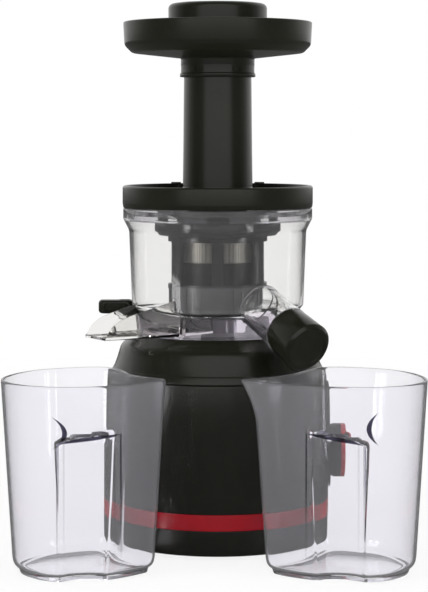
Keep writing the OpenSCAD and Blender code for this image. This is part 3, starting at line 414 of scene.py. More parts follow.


def cup_plastic(name, groove, side, dent, marks_x=None):
    """Clear cup with painted shade: dark lines where the groove's ledge, its sides and a dent look
    dark, and faint graduation marks where marks_x is given.
    """
    finish = Finish(name, CUP_TINT, 0.03, IOR=1.36, Transmission_Weight=0.955,
                    Specular_IOR_Level=0.42)
    calc = finish.calc
    middle, half, lean = groove
    dent_x, dent_z, dent_curl = dent
    split = finish.node("ShaderNodeSeparateXYZ")
    finish.link(finish.place, split.inputs["Vector"])
    x, y, z = (calc("MULTIPLY", split.outputs[k], 1 / MM) for k in range(3))

    def square(value):
        return calc("MULTIPLY", value, value)

    def line(half_width, distance, soft):
        """1 within half_width of a line's middle, going to 0 over soft, in millimetres."""
        inside = calc("SUBTRACT", half_width, calc("ABSOLUTE", distance))
        return calc("DIVIDE", inside, soft, clamp=True)

    off = calc("SUBTRACT", x, middle)
    far = calc("ABSOLUTE", off)
    under = calc("SUBTRACT", calc("MULTIPLY_ADD", off, lean, GROOVE_TOP), z)

    # The ledge's painted shade line is thickest in its middle and runs out at both ends
    bulge = calc("SUBTRACT", 1.0, square(calc("DIVIDE", off, half)))
    ledge = line(calc("MULTIPLY", bulge, 2.4), calc("SUBTRACT", under, 1.2), 0.5)

    # The painted shade on the groove's sides starts under the ledge and fades out towards the foot
    fade = calc("DIVIDE", calc("SUBTRACT", z, 10.0), 60.0, clamp=True)
    below = calc("MULTIPLY", calc("DIVIDE", under, 2.0, clamp=True), fade)
    outer = line(0.55, calc("SUBTRACT", far, half - 0.4), 0.4)
    inner = calc("MULTIPLY", line(0.4, calc("SUBTRACT", far, half - 4.5), 0.5), 0.6)
    sides = calc("MULTIPLY", below, calc("MAXIMUM", outer, inner))

    # The dent's painted shade is a short bow beside the ledge's outer end
    rise = square(calc("SUBTRACT", z, dent_z))
    bow = calc("MULTIPLY_ADD", rise, dent_curl, dent_x)
    width = calc("MULTIPLY_ADD", rise, -0.014, 1.9)
    dent_shade = line(width, calc("SUBTRACT", calc("MULTIPLY", off, side), bow), 0.4)
    shade_and_marks = calc("MAXIMUM", ledge, calc("MAXIMUM", sides, dent_shade))

    if marks_x is not None:
        rungs = line(0.25, calc("PINGPONG", z, 5.0), 0.3)
        across = line(2.2, calc("SUBTRACT", x, marks_x), 0.3)
        upright = line(27.0, calc("SUBTRACT", z, 90.0), 0.5)
        marks = calc("MULTIPLY", calc("MULTIPLY", rungs, across), upright)
        shade_and_marks = calc("MAXIMUM", shade_and_marks, calc("MULTIPLY", marks, 0.25))
    # Painted shade lines, with the graduation marks, only on the cup's front
    dark = calc("MULTIPLY", calc("LESS_THAN", y, FRONT_Y), shade_and_marks)
    finish.colour(finish.blend(dark, CUP_TINT, CUP_SHADE_AND_MARKS, 0, 1))
    return polished(finish)


def bowl_plastic():
    """Colourless where the food is; below the floor the skirt has painted shade, a darker and
    slightly purple tint.
    """
    finish = Finish("bowl_plastic", (0.98, 0.98, 0.98, 1), 0.03, IOR=1.45,
                    Transmission_Weight=0.98, Specular_IOR_Level=0.22)
    # Painted shade: below the floor the plastic is tinted darker and a little purple
    finish.colour(finish.blend(finish.height(FLOOR_Z - 4, FLOOR_Z + 1),
                               (0.87, 0.84, 0.89, 1), (0.985, 0.982, 0.975, 1), 0, 1))
    return polished(finish)


def smoky_plastic(name, colour, transmission):
    finish = Finish(name, colour, 0.12, IOR=1.46, Transmission_Weight=transmission)
    finish.colour(finish.blend(finish.noise(20, 3), varied(colour, 0.9), varied(colour, 1.1)))
    finish.roughness(finish.spread(finish.noise(10, 4), 0.08, 0.2))
    finish.bump(finish.noise(3, 3), 0.2, 0.02)
    return finish.material


def basket_plastic():
    """Grey translucent round the band, darker in the cage above it."""
    finish = Finish("basket_plastic", (0.05, 0.05, 0.055, 1), 0.2, Transmission_Weight=0.25,
                    IOR=1.46)
    finish.colour(finish.blend(finish.height(RIBS_TOP - 1.5, RIBS_TOP + 1.5),
                               (0.20, 0.20, 0.21, 1), (0.018, 0.018, 0.019, 1), 0, 1))
    finish.roughness(finish.spread(finish.noise(8, 4), 0.14, 0.3))
    finish.bump(finish.noise(2, 2), 0.2, 0.02)
    return finish.material


def metal(name, colour, roughness, stretch, size=6):
    """Turned or drawn metal with fine marks along its grain."""
    finish = Finish(name, colour, roughness, Metallic=1.0)
    marks = finish.noise(size, 6, stretch)
    finish.colour(finish.blend(marks, varied(colour, 0.8), varied(colour, 1.1), 0.3, 0.7))
    finish.roughness(finish.spread(marks, roughness * 0.7, roughness * 1.35))
    finish.bump(marks, 0.25, 0.02)
    return finish.material


def screen_steel():
    """Etched screen: rows of fine holes, drawn as dark dots, above a dark lower band."""
    finish = Finish("screen_steel", (0.16, 0.16, 0.15, 1), 0.4, Metallic=1.0)
    dots = finish.node("ShaderNodeTexVoronoi", feature="F1")
    dots.inputs["Scale"].default_value = 1 / (0.9 * MM)
    dots.inputs["Randomness"].default_value = 0.1
    finish.link(finish.place, dots.inputs["Vector"])
    open_part = finish.node("ShaderNodeMixRGB", blend_type="MULTIPLY")
    open_part.inputs["Fac"].default_value = 1
    finish.link(finish.blend(dots.outputs["Distance"], (0.02, 0.02, 0.02, 1),
                             (0.22, 0.21, 0.19, 1), 0.25, 0.42), open_part.inputs["Color1"])
    finish.link(finish.blend(finish.height(SCREEN_LOW - 0.5, SCREEN_LOW + 0.5),
                             (0.12, 0.12, 0.14, 1), (1, 1, 1, 1), 0, 1),
                open_part.inputs["Color2"])
    finish.colour(open_part.outputs["Color"])
    finish.bump(dots.outputs["Distance"], 0.4, 0.08)
    return finish.material


def banded(name, first, second, size, axis, metallic, roughness):
    """Stacked sheets or wound wire: fine bands across one axis."""
    finish = Finish(name, first, roughness, Metallic=metallic)
    wave = finish.node("ShaderNodeTexWave", wave_type="BANDS", bands_direction=axis)
    wave.inputs["Scale"].default_value = pi / (size * MM) / 10
    wave.inputs["Distortion"].default_value = 0.4
    finish.link(finish.place, wave.inputs["Vector"])
    finish.colour(finish.blend(wave.outputs["Fac"], first, second, 0.2, 0.8))
    finish.roughness(finish.spread(finish.noise(5, 4), roughness * 0.8, roughness * 1.2))
    finish.bump(wave.outputs["Fac"], 0.6, 0.15)
    return finish.material


def board_finish():
    finish = Finish("board", shade(18, 92, 48), 0.35)
    tracks = finish.node("ShaderNodeTexBrick")
    tracks.inputs["Scale"].default_value = 1 / (9 * MM)
    tracks.inputs["Color1"].default_value = shade(18, 92, 48)
    tracks.inputs["Color2"].default_value = shade(24, 104, 56)
    tracks.inputs["Mortar"].default_value = shade(52, 138, 76)
    tracks.inputs["Mortar Size"].default_value = 0.02
    finish.link(finish.place, tracks.inputs["Vector"])
    finish.colour(tracks.outputs["Color"])
    finish.roughness(finish.spread(finish.noise(4, 4), 0.28, 0.45))
    finish.bump(tracks.outputs["Fac"], 0.3, 0.05)
    return finish.material


BLACK = (0.0082, 0.0088, 0.0050, 1)
CRIMSON = (0.37, 0.0040, 0.012, 1)
black = moulded("black_plastic", BLACK, 0.24, depth=0.006)
cap_black = moulded("cap_plastic", BLACK, 0.2, depth=0.005)
crimson = moulded("crimson_plastic", CRIMSON, 0.2, grain=0.5, depth=0.006)
bowl_clear = bowl_plastic()
chute_clear = clear_plastic("chute_plastic", (0.90, 0.89, 0.87, 1), 1.45, 0.35)
skirt_smoke = clear_plastic("skirt_plastic", (0.62, 0.61, 0.64, 1), 1.3, 0.12)
smoky = smoky_plastic("smoky_plastic", (0.16, 0.16, 0.17, 1), 0.75)
basket_finish = basket_plastic()
hub_grey = moulded("hub_plastic", (0.74, 0.73, 0.75, 1), 0.4)
brushed = metal("brushed_steel", (0.62, 0.61, 0.60, 1), 0.28, (1, 1, 14))

finishes = {
    "black_plastic": black,
    "red_plastic": crimson,
    "clear_plastic": bowl_clear,
    "dark_plastic": moulded("dark_plastic", (0.020, 0.020, 0.022, 1), 0.25, depth=0.01),
    "grey_plastic": hub_grey,
    "white_plastic": moulded("white_plastic", (0.72, 0.72, 0.70, 1), 0.35, depth=0.01),
    "silicone": moulded("silicone", (0.52, 0.52, 0.51, 1), 0.55, grain=0.8, depth=0.03),
    "rubber": moulded("rubber", (0.012, 0.012, 0.012, 1), 0.7, grain=0.6, depth=0.05),
    "steel": brushed,
    "lamination": banded("laminations", (0.10, 0.10, 0.11, 1), (0.26, 0.26, 0.28, 1),
                         0.7, "Z", 0.9, 0.45),
    "copper": banded("copper_wire", (0.30, 0.10, 0.03, 1), (0.60, 0.24, 0.10, 1),
                     0.8, "DIAGONAL", 1.0, 0.3),
    "board": board_finish(),
}
own_finish = {"strainer_screen": screen_steel(), "wiper_basket": basket_finish,
              "lid_gasket": skirt_smoke}


def finish_nodes():
    """Every CAD node gets the finish of its slot in the record."""
    for part in frame["record"]["subparts"]:
        name = part["node"]
        mesh = frame["nodes"][name].data
        material = own_finish.get(name, finishes[part["material_slot"]])
        for k in range(max(1, len(mesh.materials))):
            if k < len(mesh.materials):
                mesh.materials[k] = material
            else:
                mesh.materials.append(material)


# ---- base ----

def base_radius(z):
    if z < WIDEST_Z:
        share = (WIDEST_Z - z) / (WIDEST_Z - FOOT_TOP)
        return BASE_R - (BASE_R - BASE_FOOT_R) * share ** 2
    return BASE_R - SEAM_DRAW * ((z - WIDEST_Z) / (SEAM_Z - WIDEST_Z)) ** 2


def base_side(inset, low, high, steps):
    return [(base_radius(z) - inset, z)
            for z in [low + (high - low) * k / steps for k in range(steps + 1)]]


def housing():
    groove = base_radius(BAND_Z) - BAND_DEPTH
    outer = ([(BASE_FOOT_R, FOOT_TOP, 1.2)] + base_side(0, 6, BAND_Z - 1, 4)
             + [(base_radius(BAND_Z), BAND_Z, 0.5), (groove, BAND_Z), (groove, BAND_Z + BAND_H),
                (base_radius(BAND_Z + BAND_H), BAND_Z + BAND_H, 0.5)]
             + base_side(0, BAND_Z + BAND_H + 1, SEAM_Z - 1.5, 16)
             + [(base_radius(SEAM_Z), SEAM_Z, 0.7)])
    inner = base_side(BASE_WALL, FOOT_TOP, SEAM_Z, 14)[::-1]
    piece = turned("housing", outer + inner)
    cut(piece, along_knob(rod("hole", SPINDLE_HOLE_R, BASE_R - 15, BASE_R + 5)))
    cord_hole = rod("hole", CORD_HOLE_R, BASE_R - 10, BASE_R + 10)
    cut(piece, laid_along(cord_hole, (0, 1, 0), (0, 0, CORD_Z)))
    dressed(smoothed(piece), "base", ["base_housing"], black)


def band():
    low, high = BAND_Z + 0.1, BAND_Z + BAND_H - 0.1
    back = base_radius(BAND_Z) - BAND_DEPTH + 0.05
    line = ([(base_radius(low) + 0.15, low, 0.5)] + base_side(-0.15, low + 2, high - 2, 3)
            + [(base_radius(high) + 0.15, high, 0.5), (back, high), (back, low)])
    dressed(smoothed(turned("colour_ring", line)), "base", ["colour_band"],
            crimson)


def shoulder():
    """Cover with a thin seam on the housing, a fine line above it and the bowl's platform."""
    boss_spots = [(BOSS_REACH * cos(radians(a)), BOSS_REACH * sin(radians(a)))
                  for a in BOSS_ANGLES]
    line = [
        (73.3, 118), (78.5, 118), (78.5, 126.1), (81.6, 126.45, 0.5), (79.5, 131.7, 0.3),
        (79.2, 131.9), (78.8, 132.4, 0.3), (76.7, 138), (75.2, 143), (73.4, 148.9, 14),
        (SKIRT_R + 0.5, PLATFORM_Z, 0.8), (12.6, PLATFORM_Z), (12.6, PLATFORM_Z - 3),
        (59, PLATFORM_Z - 3), (70, 146), (73.5, 138), (75.5, 131), (75.5, 124),
    ]
    piece = turned("shoulder", line)
    for spot in boss_spots:
        boss = rod("boss", 4.5, 124.5, PLATFORM_Z - 1, spot, 48)
        fused(piece, cut(boss, rod("hole", 1.65, 120, 137.5, spot, 32)))
    dressed(smoothed(piece, 28), "base", ["shoulder_cover"], black)


def pod():
    """Flat panel that carries the knob, its edge rounded."""
    piece = copied("switch_pod", "knob_panel")
    edit(piece, "EDGE")
    chosen(piece, "edges", lambda m, e: m.x > POD_X - 0.05 and hypot(m.y, m.z - KNOB_Z) > 8)
    bpy.ops.mesh.bevel(offset=1.2 * MM, segments=3, affect="EDGES")
    done()
    dressed(smoothed(piece), "base", ["switch_pod"], black)


# ---- knob ----

def knob():
    face = POD_X + 0.4
    ring_from = face + KNOB_L - 4
    line = [(0, face), (KNOB_R - 1.2, face, 0.8), (KNOB_R - 0.4, face + 3),
            (KNOB_R - 0.4, ring_from - 0.1), (KNOB_R - 5.05, ring_from - 0.1),
            (KNOB_R - 5.05, face + KNOB_L - 0.7, 0.6),
            (KNOB_R - 9, face + KNOB_L - 1.4), (0, face + KNOB_L - 1.9)]
    piece = turned("knob", line, sides=360)
    grip = bmesh.new()
    grip.from_mesh(piece.data)
    for v in grip.verts:
        reach = hypot(v.co.x, v.co.y)
        if reach > (KNOB_R - 2) * MM:
            wave = max(-0.35, cos(GRIP_RIBS * atan2(v.co.y, v.co.x))) * GRIP_DEPTH * MM
            fade = min(1, max(0, (v.co.z / MM - face) / 2))
            v.co.x *= 1 + wave * fade / reach
            v.co.y *= 1 + wave * fade / reach
    grip.to_mesh(piece.data)
    grip.free()
    fused(piece, rod("spindle", 3, 60, face + 1, sides=48))
    dressed(smoothed(along_knob(piece), 50), "knob", ["control_knob"], cap_black)
    ring = turned("knob_trim", [
        (KNOB_R - 5, ring_from, 0.2), (KNOB_R + 0.2, ring_from, 0.5),
        (KNOB_R + 0.2, face + KNOB_L, 1.1), (KNOB_R - 5, face + KNOB_L, 0.8)])
    dressed(smoothed(along_knob(ring)), "knob", ["knob_ring"], crimson)


# ---- bowl, in one clear moulding with its spout and chute ----

def bowl():
    collar_in = HUB_R + 0.3
    collar_out = collar_in + 1.6
    under = FLOOR_Z - BOWL_WALL
    piece = turned("bowl", [
        (collar_in, 160), (collar_out, 160), (collar_out, under, 1.5),
        (SKIRT_R - BOWL_WALL, under, 2), (SKIRT_R - BOWL_WALL, PLATFORM_Z),
        (SKIRT_R, PLATFORM_Z, 0.5), (SKIRT_R, FLOOR_Z - 2, 2),
        (BOWL_LOW_R, FLOOR_Z + 2.5, 2.5), (BOWL_TOP_R, RIM_Z - 17, 8),
        (FLANGE_R, RIM_Z - 8, 4), (FLANGE_R, RIM_Z, 0.6), (FLANGE_R - BOWL_WALL, RIM_Z, 0.6),
        (FLANGE_R - BOWL_WALL, RIM_Z - 8, 4), (BOWL_TOP_R - BOWL_WALL, RIM_Z - 17, 8),
        (BOWL_LOW_R - BOWL_WALL, FLOOR_Z + 2.5), (BOWL_LOW_R - BOWL_WALL, FLOOR_Z, 2),
        (7.55, FLOOR_Z), (7.55, under + 1), (9.5, under + 1), (9.5, under), (collar_in, under),
    ])
    fused(piece, spout())
    hollow = along_spout(rod("hollow", SPOUT_R - 3.2, 56, SPOUT_STOP + 30))
    cut(piece, hollow)
    cut(piece, rod("port", 7.2, under - 1, FLOOR_Z + 1, (-13, -20), 64))
    cut(piece, sloped(block("mouth_gap", (-80, -55, 150), (0, -21.5, under))))
    dressed(smoothed(piece, 32), "bowl", ["juicing_bowl", "bowl_floor", "bowl_collar",
            "juice_spout"], bowl_clear)


def sloped(gap):
    """Keeps what is above the chute's sloping floor."""
    edit(gap)
    bpy.ops.mesh.select_all(action="SELECT")
    bpy.ops.mesh.bisect(plane_co=(0, 0, CHUTE_FLOOR_Z * MM), plane_no=(CHUTE_SLOPE, 0, 1),
                        use_fill=True, clear_inner=True)
    done()
    return gap


def bowl_wall(play):
    """Ring that holds the bowl's wall, for cutting what meets it."""
    inner = SKIRT_R - BOWL_WALL - play
    return turned("wall", [
        (inner, 140), (SKIRT_R + play, 140), (SKIRT_R + play, FLOOR_Z - 2),
        (BOWL_LOW_R + play, FLOOR_Z + 2.5), (BOWL_TOP_R + play, RIM_Z - 17), (inner, RIM_Z - 17)])


def chute():
    piece = cut(copied("pulp_chute", "chute"), bowl_wall(0.12))
    dressed(smoothed(soften(piece, 0.25)), "bowl", ["pulp_chute"], chute_clear)
    ear = cut(copied("lever_bracket", "ear"), bowl_wall(0.12))
    dressed(smoothed(soften(ear, 0.4)), "bowl", ["lever_bracket"], chute_clear)


def spout():
    neck = SPOUT_R - 1.2
    stop = SPOUT_STOP + 6.5
    return along_spout(turned("spout", [
        (0, 60), (SPOUT_R, 60), (SPOUT_R, SPOUT_STOP, 1), (SPOUT_R + 0.9, SPOUT_STOP, 0.4),
        (SPOUT_R + 0.9, stop, 0.4), (neck, stop), (neck, stop + 12.5, 0.5), (0, stop + 12.5)],
        sides=128))


def spout_cap():
    start = SPOUT_STOP + 7
    end = start + CAP_L
    low, high = SPOUT_R + 0.8, SPOUT_R + 1.8
    piece = turned("cap", [
        (SPOUT_R - 1.15, start), (low, start, 0.6), (high, end - 2.2, 0.6), (high - 2.2, end, 0.8),
        (high - 5, end, 0.4), (high - 5.4, end - 0.6, 0.4), (0, end - 0.6), (0, end - 2.5),
        (SPOUT_R - 1.15, end - 2.5)], sides=160)
    nozzle = turned("nozzle", [(0, 0), (6.6, 0), (6.6, high + 2, 0.6), (0, high + 2)], sides=72)
    nozzle.matrix_world = (Matrix.Translation((0, 0, (end - 10) * MM))
                           @ Matrix.Rotation(pi / 2, 4, "Y"))
    settle(nozzle)
    cut(nozzle, rod("bore", SPOUT_R - 1.15, start, end - 2.5))
    fused(piece, nozzle)
    hole = rod("hole", 5, 0, high + 10, sides=64)
    hole.matrix_world = (Matrix.Translation((0, 0, (end - 10) * MM))
                         @ Matrix.Rotation(pi / 2, 4, "Y"))
    settle(hole)
    cut(piece, hole)
    dressed(smoothed(along_spout(piece)), "spout_cap", ["spout_cap"], cap_black)


def lever():
    """Bar with rounded ends and edges and a fine sunk outline on its face, on a round foot."""
    left, right = LEVER_X - LEVER_L, LEVER_X + LEVER_W / 2
    low_y, high_y = LEVER_Y - LEVER_W / 2, LEVER_Y + LEVER_W / 2
    low, high = LEVER_Z + LEVER_UNDER, LEVER_Z + LEVER_H
    piece = block("lever", (left, low_y, low), (right, high_y, high))
    edit(piece, "EDGE")
    chosen(piece, "edges", lambda m, e: low + 1 < m.z < high - 1 and abs(m.y - LEVER_Y) > 1)
    bpy.ops.mesh.bevel(offset=(LEVER_W / 2 - 1.5) * MM, segments=10, affect="EDGES")
    done()
    soften(piece, 2.6, 6)
    edit(piece, "FACE")
    chosen(piece, "faces", lambda m, f: f.normal.y < -0.99)
    bpy.ops.mesh.inset(thickness=0.35 * MM)
    bpy.ops.mesh.inset(thickness=0.35 * MM, depth=-0.35 * MM)
    bpy.ops.mesh.inset(thickness=0.35 * MM, depth=0.35 * MM)
    done()
    centre = (LEVER_X, LEVER_Y)
    fused(piece, rod("foot", 4.6, LEVER_Z, low + 1, centre, 48))
    cut(piece, rod("hole", 3.05, LEVER_Z - 1, high - 2, centre, 48))
    cut(piece, rod("hole", 4.5, high - 2.5, high + 2, centre, 48))
    dressed(smoothed(piece), "pulp_lever", ["pulp_lever"], cap_black)


# ---- strainer ----

def funnel():
    piece = turned("funnel", [
        (28.5, 231.6), (45, 231.6, 1), (48, 234.6, 1.5), (48, 242, 0.6), (46, 242, 0.6),
        (45, 236.6, 2), (29.5, 234.6, 1)])
    dressed(smoothed(piece), "bowl", ["strainer_funnel"], smoky)


# ---- lid ----

def lid():
    deck_low = DECK_Z - 2.5
    piece = turned("lid", [
        (0, deck_low), (LID_R - 2.5, deck_low), (LID_R - 2.5, RIM_Z + 0.3, 0.4),
        (LID_R - 0.5, RIM_Z + 0.3, 0.8), (LID_R, RIM_Z + 4, 2), (LID_R, LID_TOP - 1, 1.4),
        (LID_R - 1.2, LID_TOP, 0.8), (LID_R - 3, LID_TOP, 0.8), (LID_R - 3.2, LID_TOP - 2, 1),
        (LID_R - 3.4, DECK_Z, 1.6), (0, DECK_Z)])
    hole = rod("hole", 20.5, deck_low - 1, DECK_Z + 1, (0, TUBE_Y))
    cut(hole, rod("boss", 9, deck_low - 2, DECK_Z + 2))
    cut(piece, hole)
    for side in (-1, 1):
        tab = block("tab", (side * 33 - 4, 60, DECK_Z - 1), (side * 33 + 4, 64, LID_TOP + 1))
        fused(piece, soften(tab, 0.8, 3))
    dressed(smoothed(piece), "lid", ["lid"], black)


def lid_rings():
    """Smoky skirt inside the bowl's rim, and the dark throat with the auger's bearing."""
    core = ("core", 50, RIM_Z - 30, LID_TOP)
    skirt = cut(copied("lid_rings", "lid_skirt"), rod(*core))
    dressed(smoothed(skirt), "lid", ["lid_rings"], skirt_smoke)
    throat = combined(copied("lid_rings", "throat"), rod(*core), "INTERSECT")
    dressed(smoothed(throat), "lid", ["lid_rings"], black)


def feed_tube():
    piece = turned("tube", [
        (TUBE_R - TUBE_WALL, DECK_Z), (TUBE_R + 4, DECK_Z), (TUBE_R + 3.4, DECK_Z + 1.2, 1),
        (TUBE_R + 0.8, DECK_Z + 5, 4), (TUBE_R - 0.1, TUBE_TOP, 0.8),
        (TUBE_R - TUBE_WALL, TUBE_TOP, 0.8)], (0, TUBE_Y))
    dressed(smoothed(piece), "lid", ["feed_tube"], black)


def tray():
    ledge = TUBE_TOP + 0.3
    piece = turned("tray", [
        (TUBE_R - TUBE_WALL, ledge, 0.3), (TUBE_R + 2.4, ledge, 0.3), (TUBE_R + 2.4, ledge + 5, 1),
        (66, ledge + 9.2, 5), (TRAY_R - 0.9, ledge + 15, 6), (TRAY_R, TRAY_RIM, 1.2),
        (TRAY_R - 2.5, TRAY_RIM, 1.2), (TRAY_R - 3.4, ledge + 17, 6), (64, ledge + 11.4, 5),
        (TUBE_R + 2.4, ledge + 7, 2), (TUBE_R - TUBE_WALL, ledge + 4.5, 0.6)],
        (0, TUBE_Y), steps=8)
    dressed(smoothed(piece), "tray", ["feed_tray"], black)


def tray_collar():
    low, high = TUBE_TOP - 9, TUBE_TOP + 0.3
    piece = turned("collar", [
        (TUBE_R + 0.1, low), (TUBE_R + 3.1, low, 0.6), (TUBE_R + 3.1, low + 2.5, 0.8),
        (TUBE_R + 2.4, low + 2.9, 0.3), (TUBE_R + 2.4, high), (TUBE_R + 0.1, high)],
        (0, TUBE_Y))
    for k in range(6):
        notch = block("notch", (TUBE_R + 1.4, -3.5, low + 4), (TUBE_R + 6.4, 3.5, low + 8))
        notch.matrix_world = (Matrix.Translation((0, TUBE_Y * MM, 0))
                              @ Matrix.Rotation(radians(60 * k), 4, "Z"))
        settle(notch)
        cut(piece, notch)
    dressed(smoothed(piece), "tray", ["tray_collar"], black)


def pusher_cap():
    low = PUSHER_LOW
    piece = turned("pusher_top", [
        (PUSHER_R - 2.5, low), (PUSHER_R, low, 0.8), (PUSHER_R, PUSHER_TOP - 1, 4),
        (PUSHER_R - 7, PUSHER_TOP, 4), (0, PUSHER_TOP), (0, PUSHER_TOP - 2.5),
        (PUSHER_R - 2.5, PUSHER_TOP - 2.5)], (0, TUBE_Y), steps=8)
    dressed(smoothed(piece), "pusher", ["pusher_cap"], black)


# ---- cups ----

PULP_RIM = [
    (-153, -110), (-148, -134), (-131, -154), (-108, -163), (-86, -161), (-64, -150),
    (-46, -134), (-36.5, -119.5), (-51, -105), (-62, -88), (-69, -66), (-80, -48),
    (-98, -46), (-128, -60), (-145, -82),
]
JUICE_RIM = [
    (148, -110), (141, -82), (125, -60), (96, -46), (76, -48), (64, -66),
    (54, -86), (40, -104), (25, -122), (32, -136), (56, -153), (84, -162),
    (107, -163), (129, -154), (144, -134),
]
LIP_REACH, LIP_TOP = 9, 30
GROOVE_TOP, GROOVE_DEPTH, CUP_FRONT = 100, 13, -159.5
# A groove's middle, half width and lean; the painted shade bow of a dent: its distance from that
# middle, height and curl
PULP_GROOVE = (-88.5, 22, 0.14)
JUICE_GROOVE = (81, 20.5, -0.2)
PULP_DENT_SHADE = (16, 104, 0.07)
JUICE_DENT_SHADE = (22.3, 107, 0.05)
MARKS_X = 134.5                   # middle of the graduation marks on the right cup
PER_SPAN = 22


def flowing(points):
    """A closed smooth line through the points."""
    line = []
    count = len(points)
    for i in range(count):
        p0, p1, p2, p3 = (Vector(points[(i + k - 1) % count]) for k in range(4))
        for k in range(PER_SPAN):
            t = k / PER_SPAN
            line.append(0.5 * (2 * p1 + (p2 - p0) * t + (2 * p0 - 5 * p1 + 4 * p2 - p3) * t * t
                               + (3 * p1 - p0 - 3 * p2 + p3) * t ** 3))
    return line


def inset_line(line, inward):
    moved = []
    for i, point in enumerate(line):
        along = line[(i + 1) % len(line)] - line[i - 1]
        moved.append(point + inward * Vector((-along.y, along.x)).normalized())
    return moved


def cup_levels():
    """(height, inset) of each ring, from inside the foot up the outside and down the inside."""
    rings = [(2.4, 9.5), (1.0, 8.4), (0.0, 7.6), (0.0, 5.6), (0.4, 4.9), (1.4, 4.5), (3.0, 4.2),
             (3.8, 3.8), (4.4, 3.0), (5.2, 2.0), (6.4, 1.1), (8.2, 0.4), (10.5, 0.08)]
    rings += [(12 + (CUP_H - 14) * k / 60, 0) for k in range(61)]
    rings += [(CUP_H - 0.9, 0.06), (CUP_H - 0.25, 0.35), (CUP_H, 0.8), (CUP_H, 1.2),
              (CUP_H - 0.25, 1.65), (CUP_H - 0.9, 1.94)]
    rings += [(12 + (CUP_H - 14) * k / 60, CUP_WALL) for k in range(60, -1, -1)]
    rings += [(10, 2.1), (8, 2.6), (6.4, 3.6), (5.2, 5.0), (4.5, 6.8), (4.2, 9)]
    return rings


def soft_max(a, b, blend):
    gap = max(blend - abs(a - b), 0) / blend
    return max(a, b) + gap * gap * blend / 4


def cup(name, rim, mid, groove, lip=0):
    """Cup lofted through its rings, with a finger groove pressed into its front."""
    groove_x, groove_half, groove_lean = groove
    groove_r = (groove_half ** 2 + GROOVE_DEPTH ** 2) / (2 * GROOVE_DEPTH)
    groove_y = CUP_FRONT + GROOVE_DEPTH - groove_r
    mid = Vector(mid)
    body = flowing(rim)
    mouth = flowing([(x - lip, y) if lip and x < 30 else (x, y) for x, y in rim])
    mesh = bmesh.new()
    rings = []
    for height, inward in cup_levels():
        share = CUP_TAPER + (1 - CUP_TAPER) * height / CUP_H
        open_ = max(0, (height - CUP_H + LIP_TOP) / LIP_TOP) ** 1.6
        line = [mid + share * (p.lerp(q, open_) - mid) for p, q in zip(body, mouth)]
        ring = []
        for p in inset_line(line, inward):
            away = p - Vector((groove_x, groove_y))
            top = GROOVE_TOP + groove_lean * (p.x - groove_x) + inward
            fade = min(1, max(0, (top - height) / 3.5 + 0.5))
            fade = fade * fade * (3 - 2 * fade)
            reach = soft_max(away.length, groove_r + inward, 1.2)
            p = p + away.normalized() * (reach - away.length) * fade
            ring.append(mesh.verts.new((p.x * MM, p.y * MM, height * MM)))
        rings.append(ring)
    count = len(body)
    for low, high in zip(rings, rings[1:]):
        for i in range(count):
            k = (i + 1) % count
            mesh.faces.new((low[i], low[k], high[k], high[i]))
    mesh.faces.new(rings[0][::-1])
    mesh.faces.new(rings[-1])
    bmesh.ops.recalc_face_normals(mesh, faces=mesh.faces)
    data = bpy.data.meshes.new(name)
    mesh.to_mesh(data)
    mesh.free()
    piece = bpy.data.objects.new(name, data)
    bpy.context.scene.collection.objects.link(piece)
    return smoothed(piece, 50)


def cups():
    left = cup("left_cup", PULP_RIM, (-94, -110), PULP_GROOVE)
    dressed(left, "pulp_cup", ["pulp_cup"],
            cup_plastic("left_cup_plastic", PULP_GROOVE, -1.0, PULP_DENT_SHADE))
    right = cup("right_cup", JUICE_RIM, (90, -110), JUICE_GROOVE, LIP_REACH)
    dressed(right, "juice_cup", ["juice_cup"],
            cup_plastic("right_cup_plastic", JUICE_GROOVE, 1.0, JUICE_DENT_SHADE, MARKS_X))


# ---- stage, light and camera ----

FLOOR_SIZE, FLOOR_MIRRORED = 60, 0.12   # metres, and how bright the set mirrors the floor
SHADOW_REACH = ((0.25, 0.86), (1.2, 1.0))  # distance in metres and share of plain white there
# Brightness against a direction's share along one axis, from -1 to 1
MIRRORED_Y = [(-1.0, 0.85), (-0.74, 0.85), (-0.62, 0.1), (-0.1, 0.1), (0.3, 0.4), (0.5, 0.75),
              (1.0, 0.9)]
MIRRORED_Z = [(-0.06, 0.12), (0.0, 1.0), (0.6, 1.0), (1.0, 0.4)]
THROUGH_Y = [(-1.0, 0.25), (0.1, 0.25), (0.5, 1.0), (1.0, 1.0)]
SOFT_LIGHT = 0.6


def glow(tree, value):
    node = tree.nodes.new("ShaderNodeEmission")
    node.inputs["Color"].default_value = (value, value, value, 1)
    return node.outputs[0]


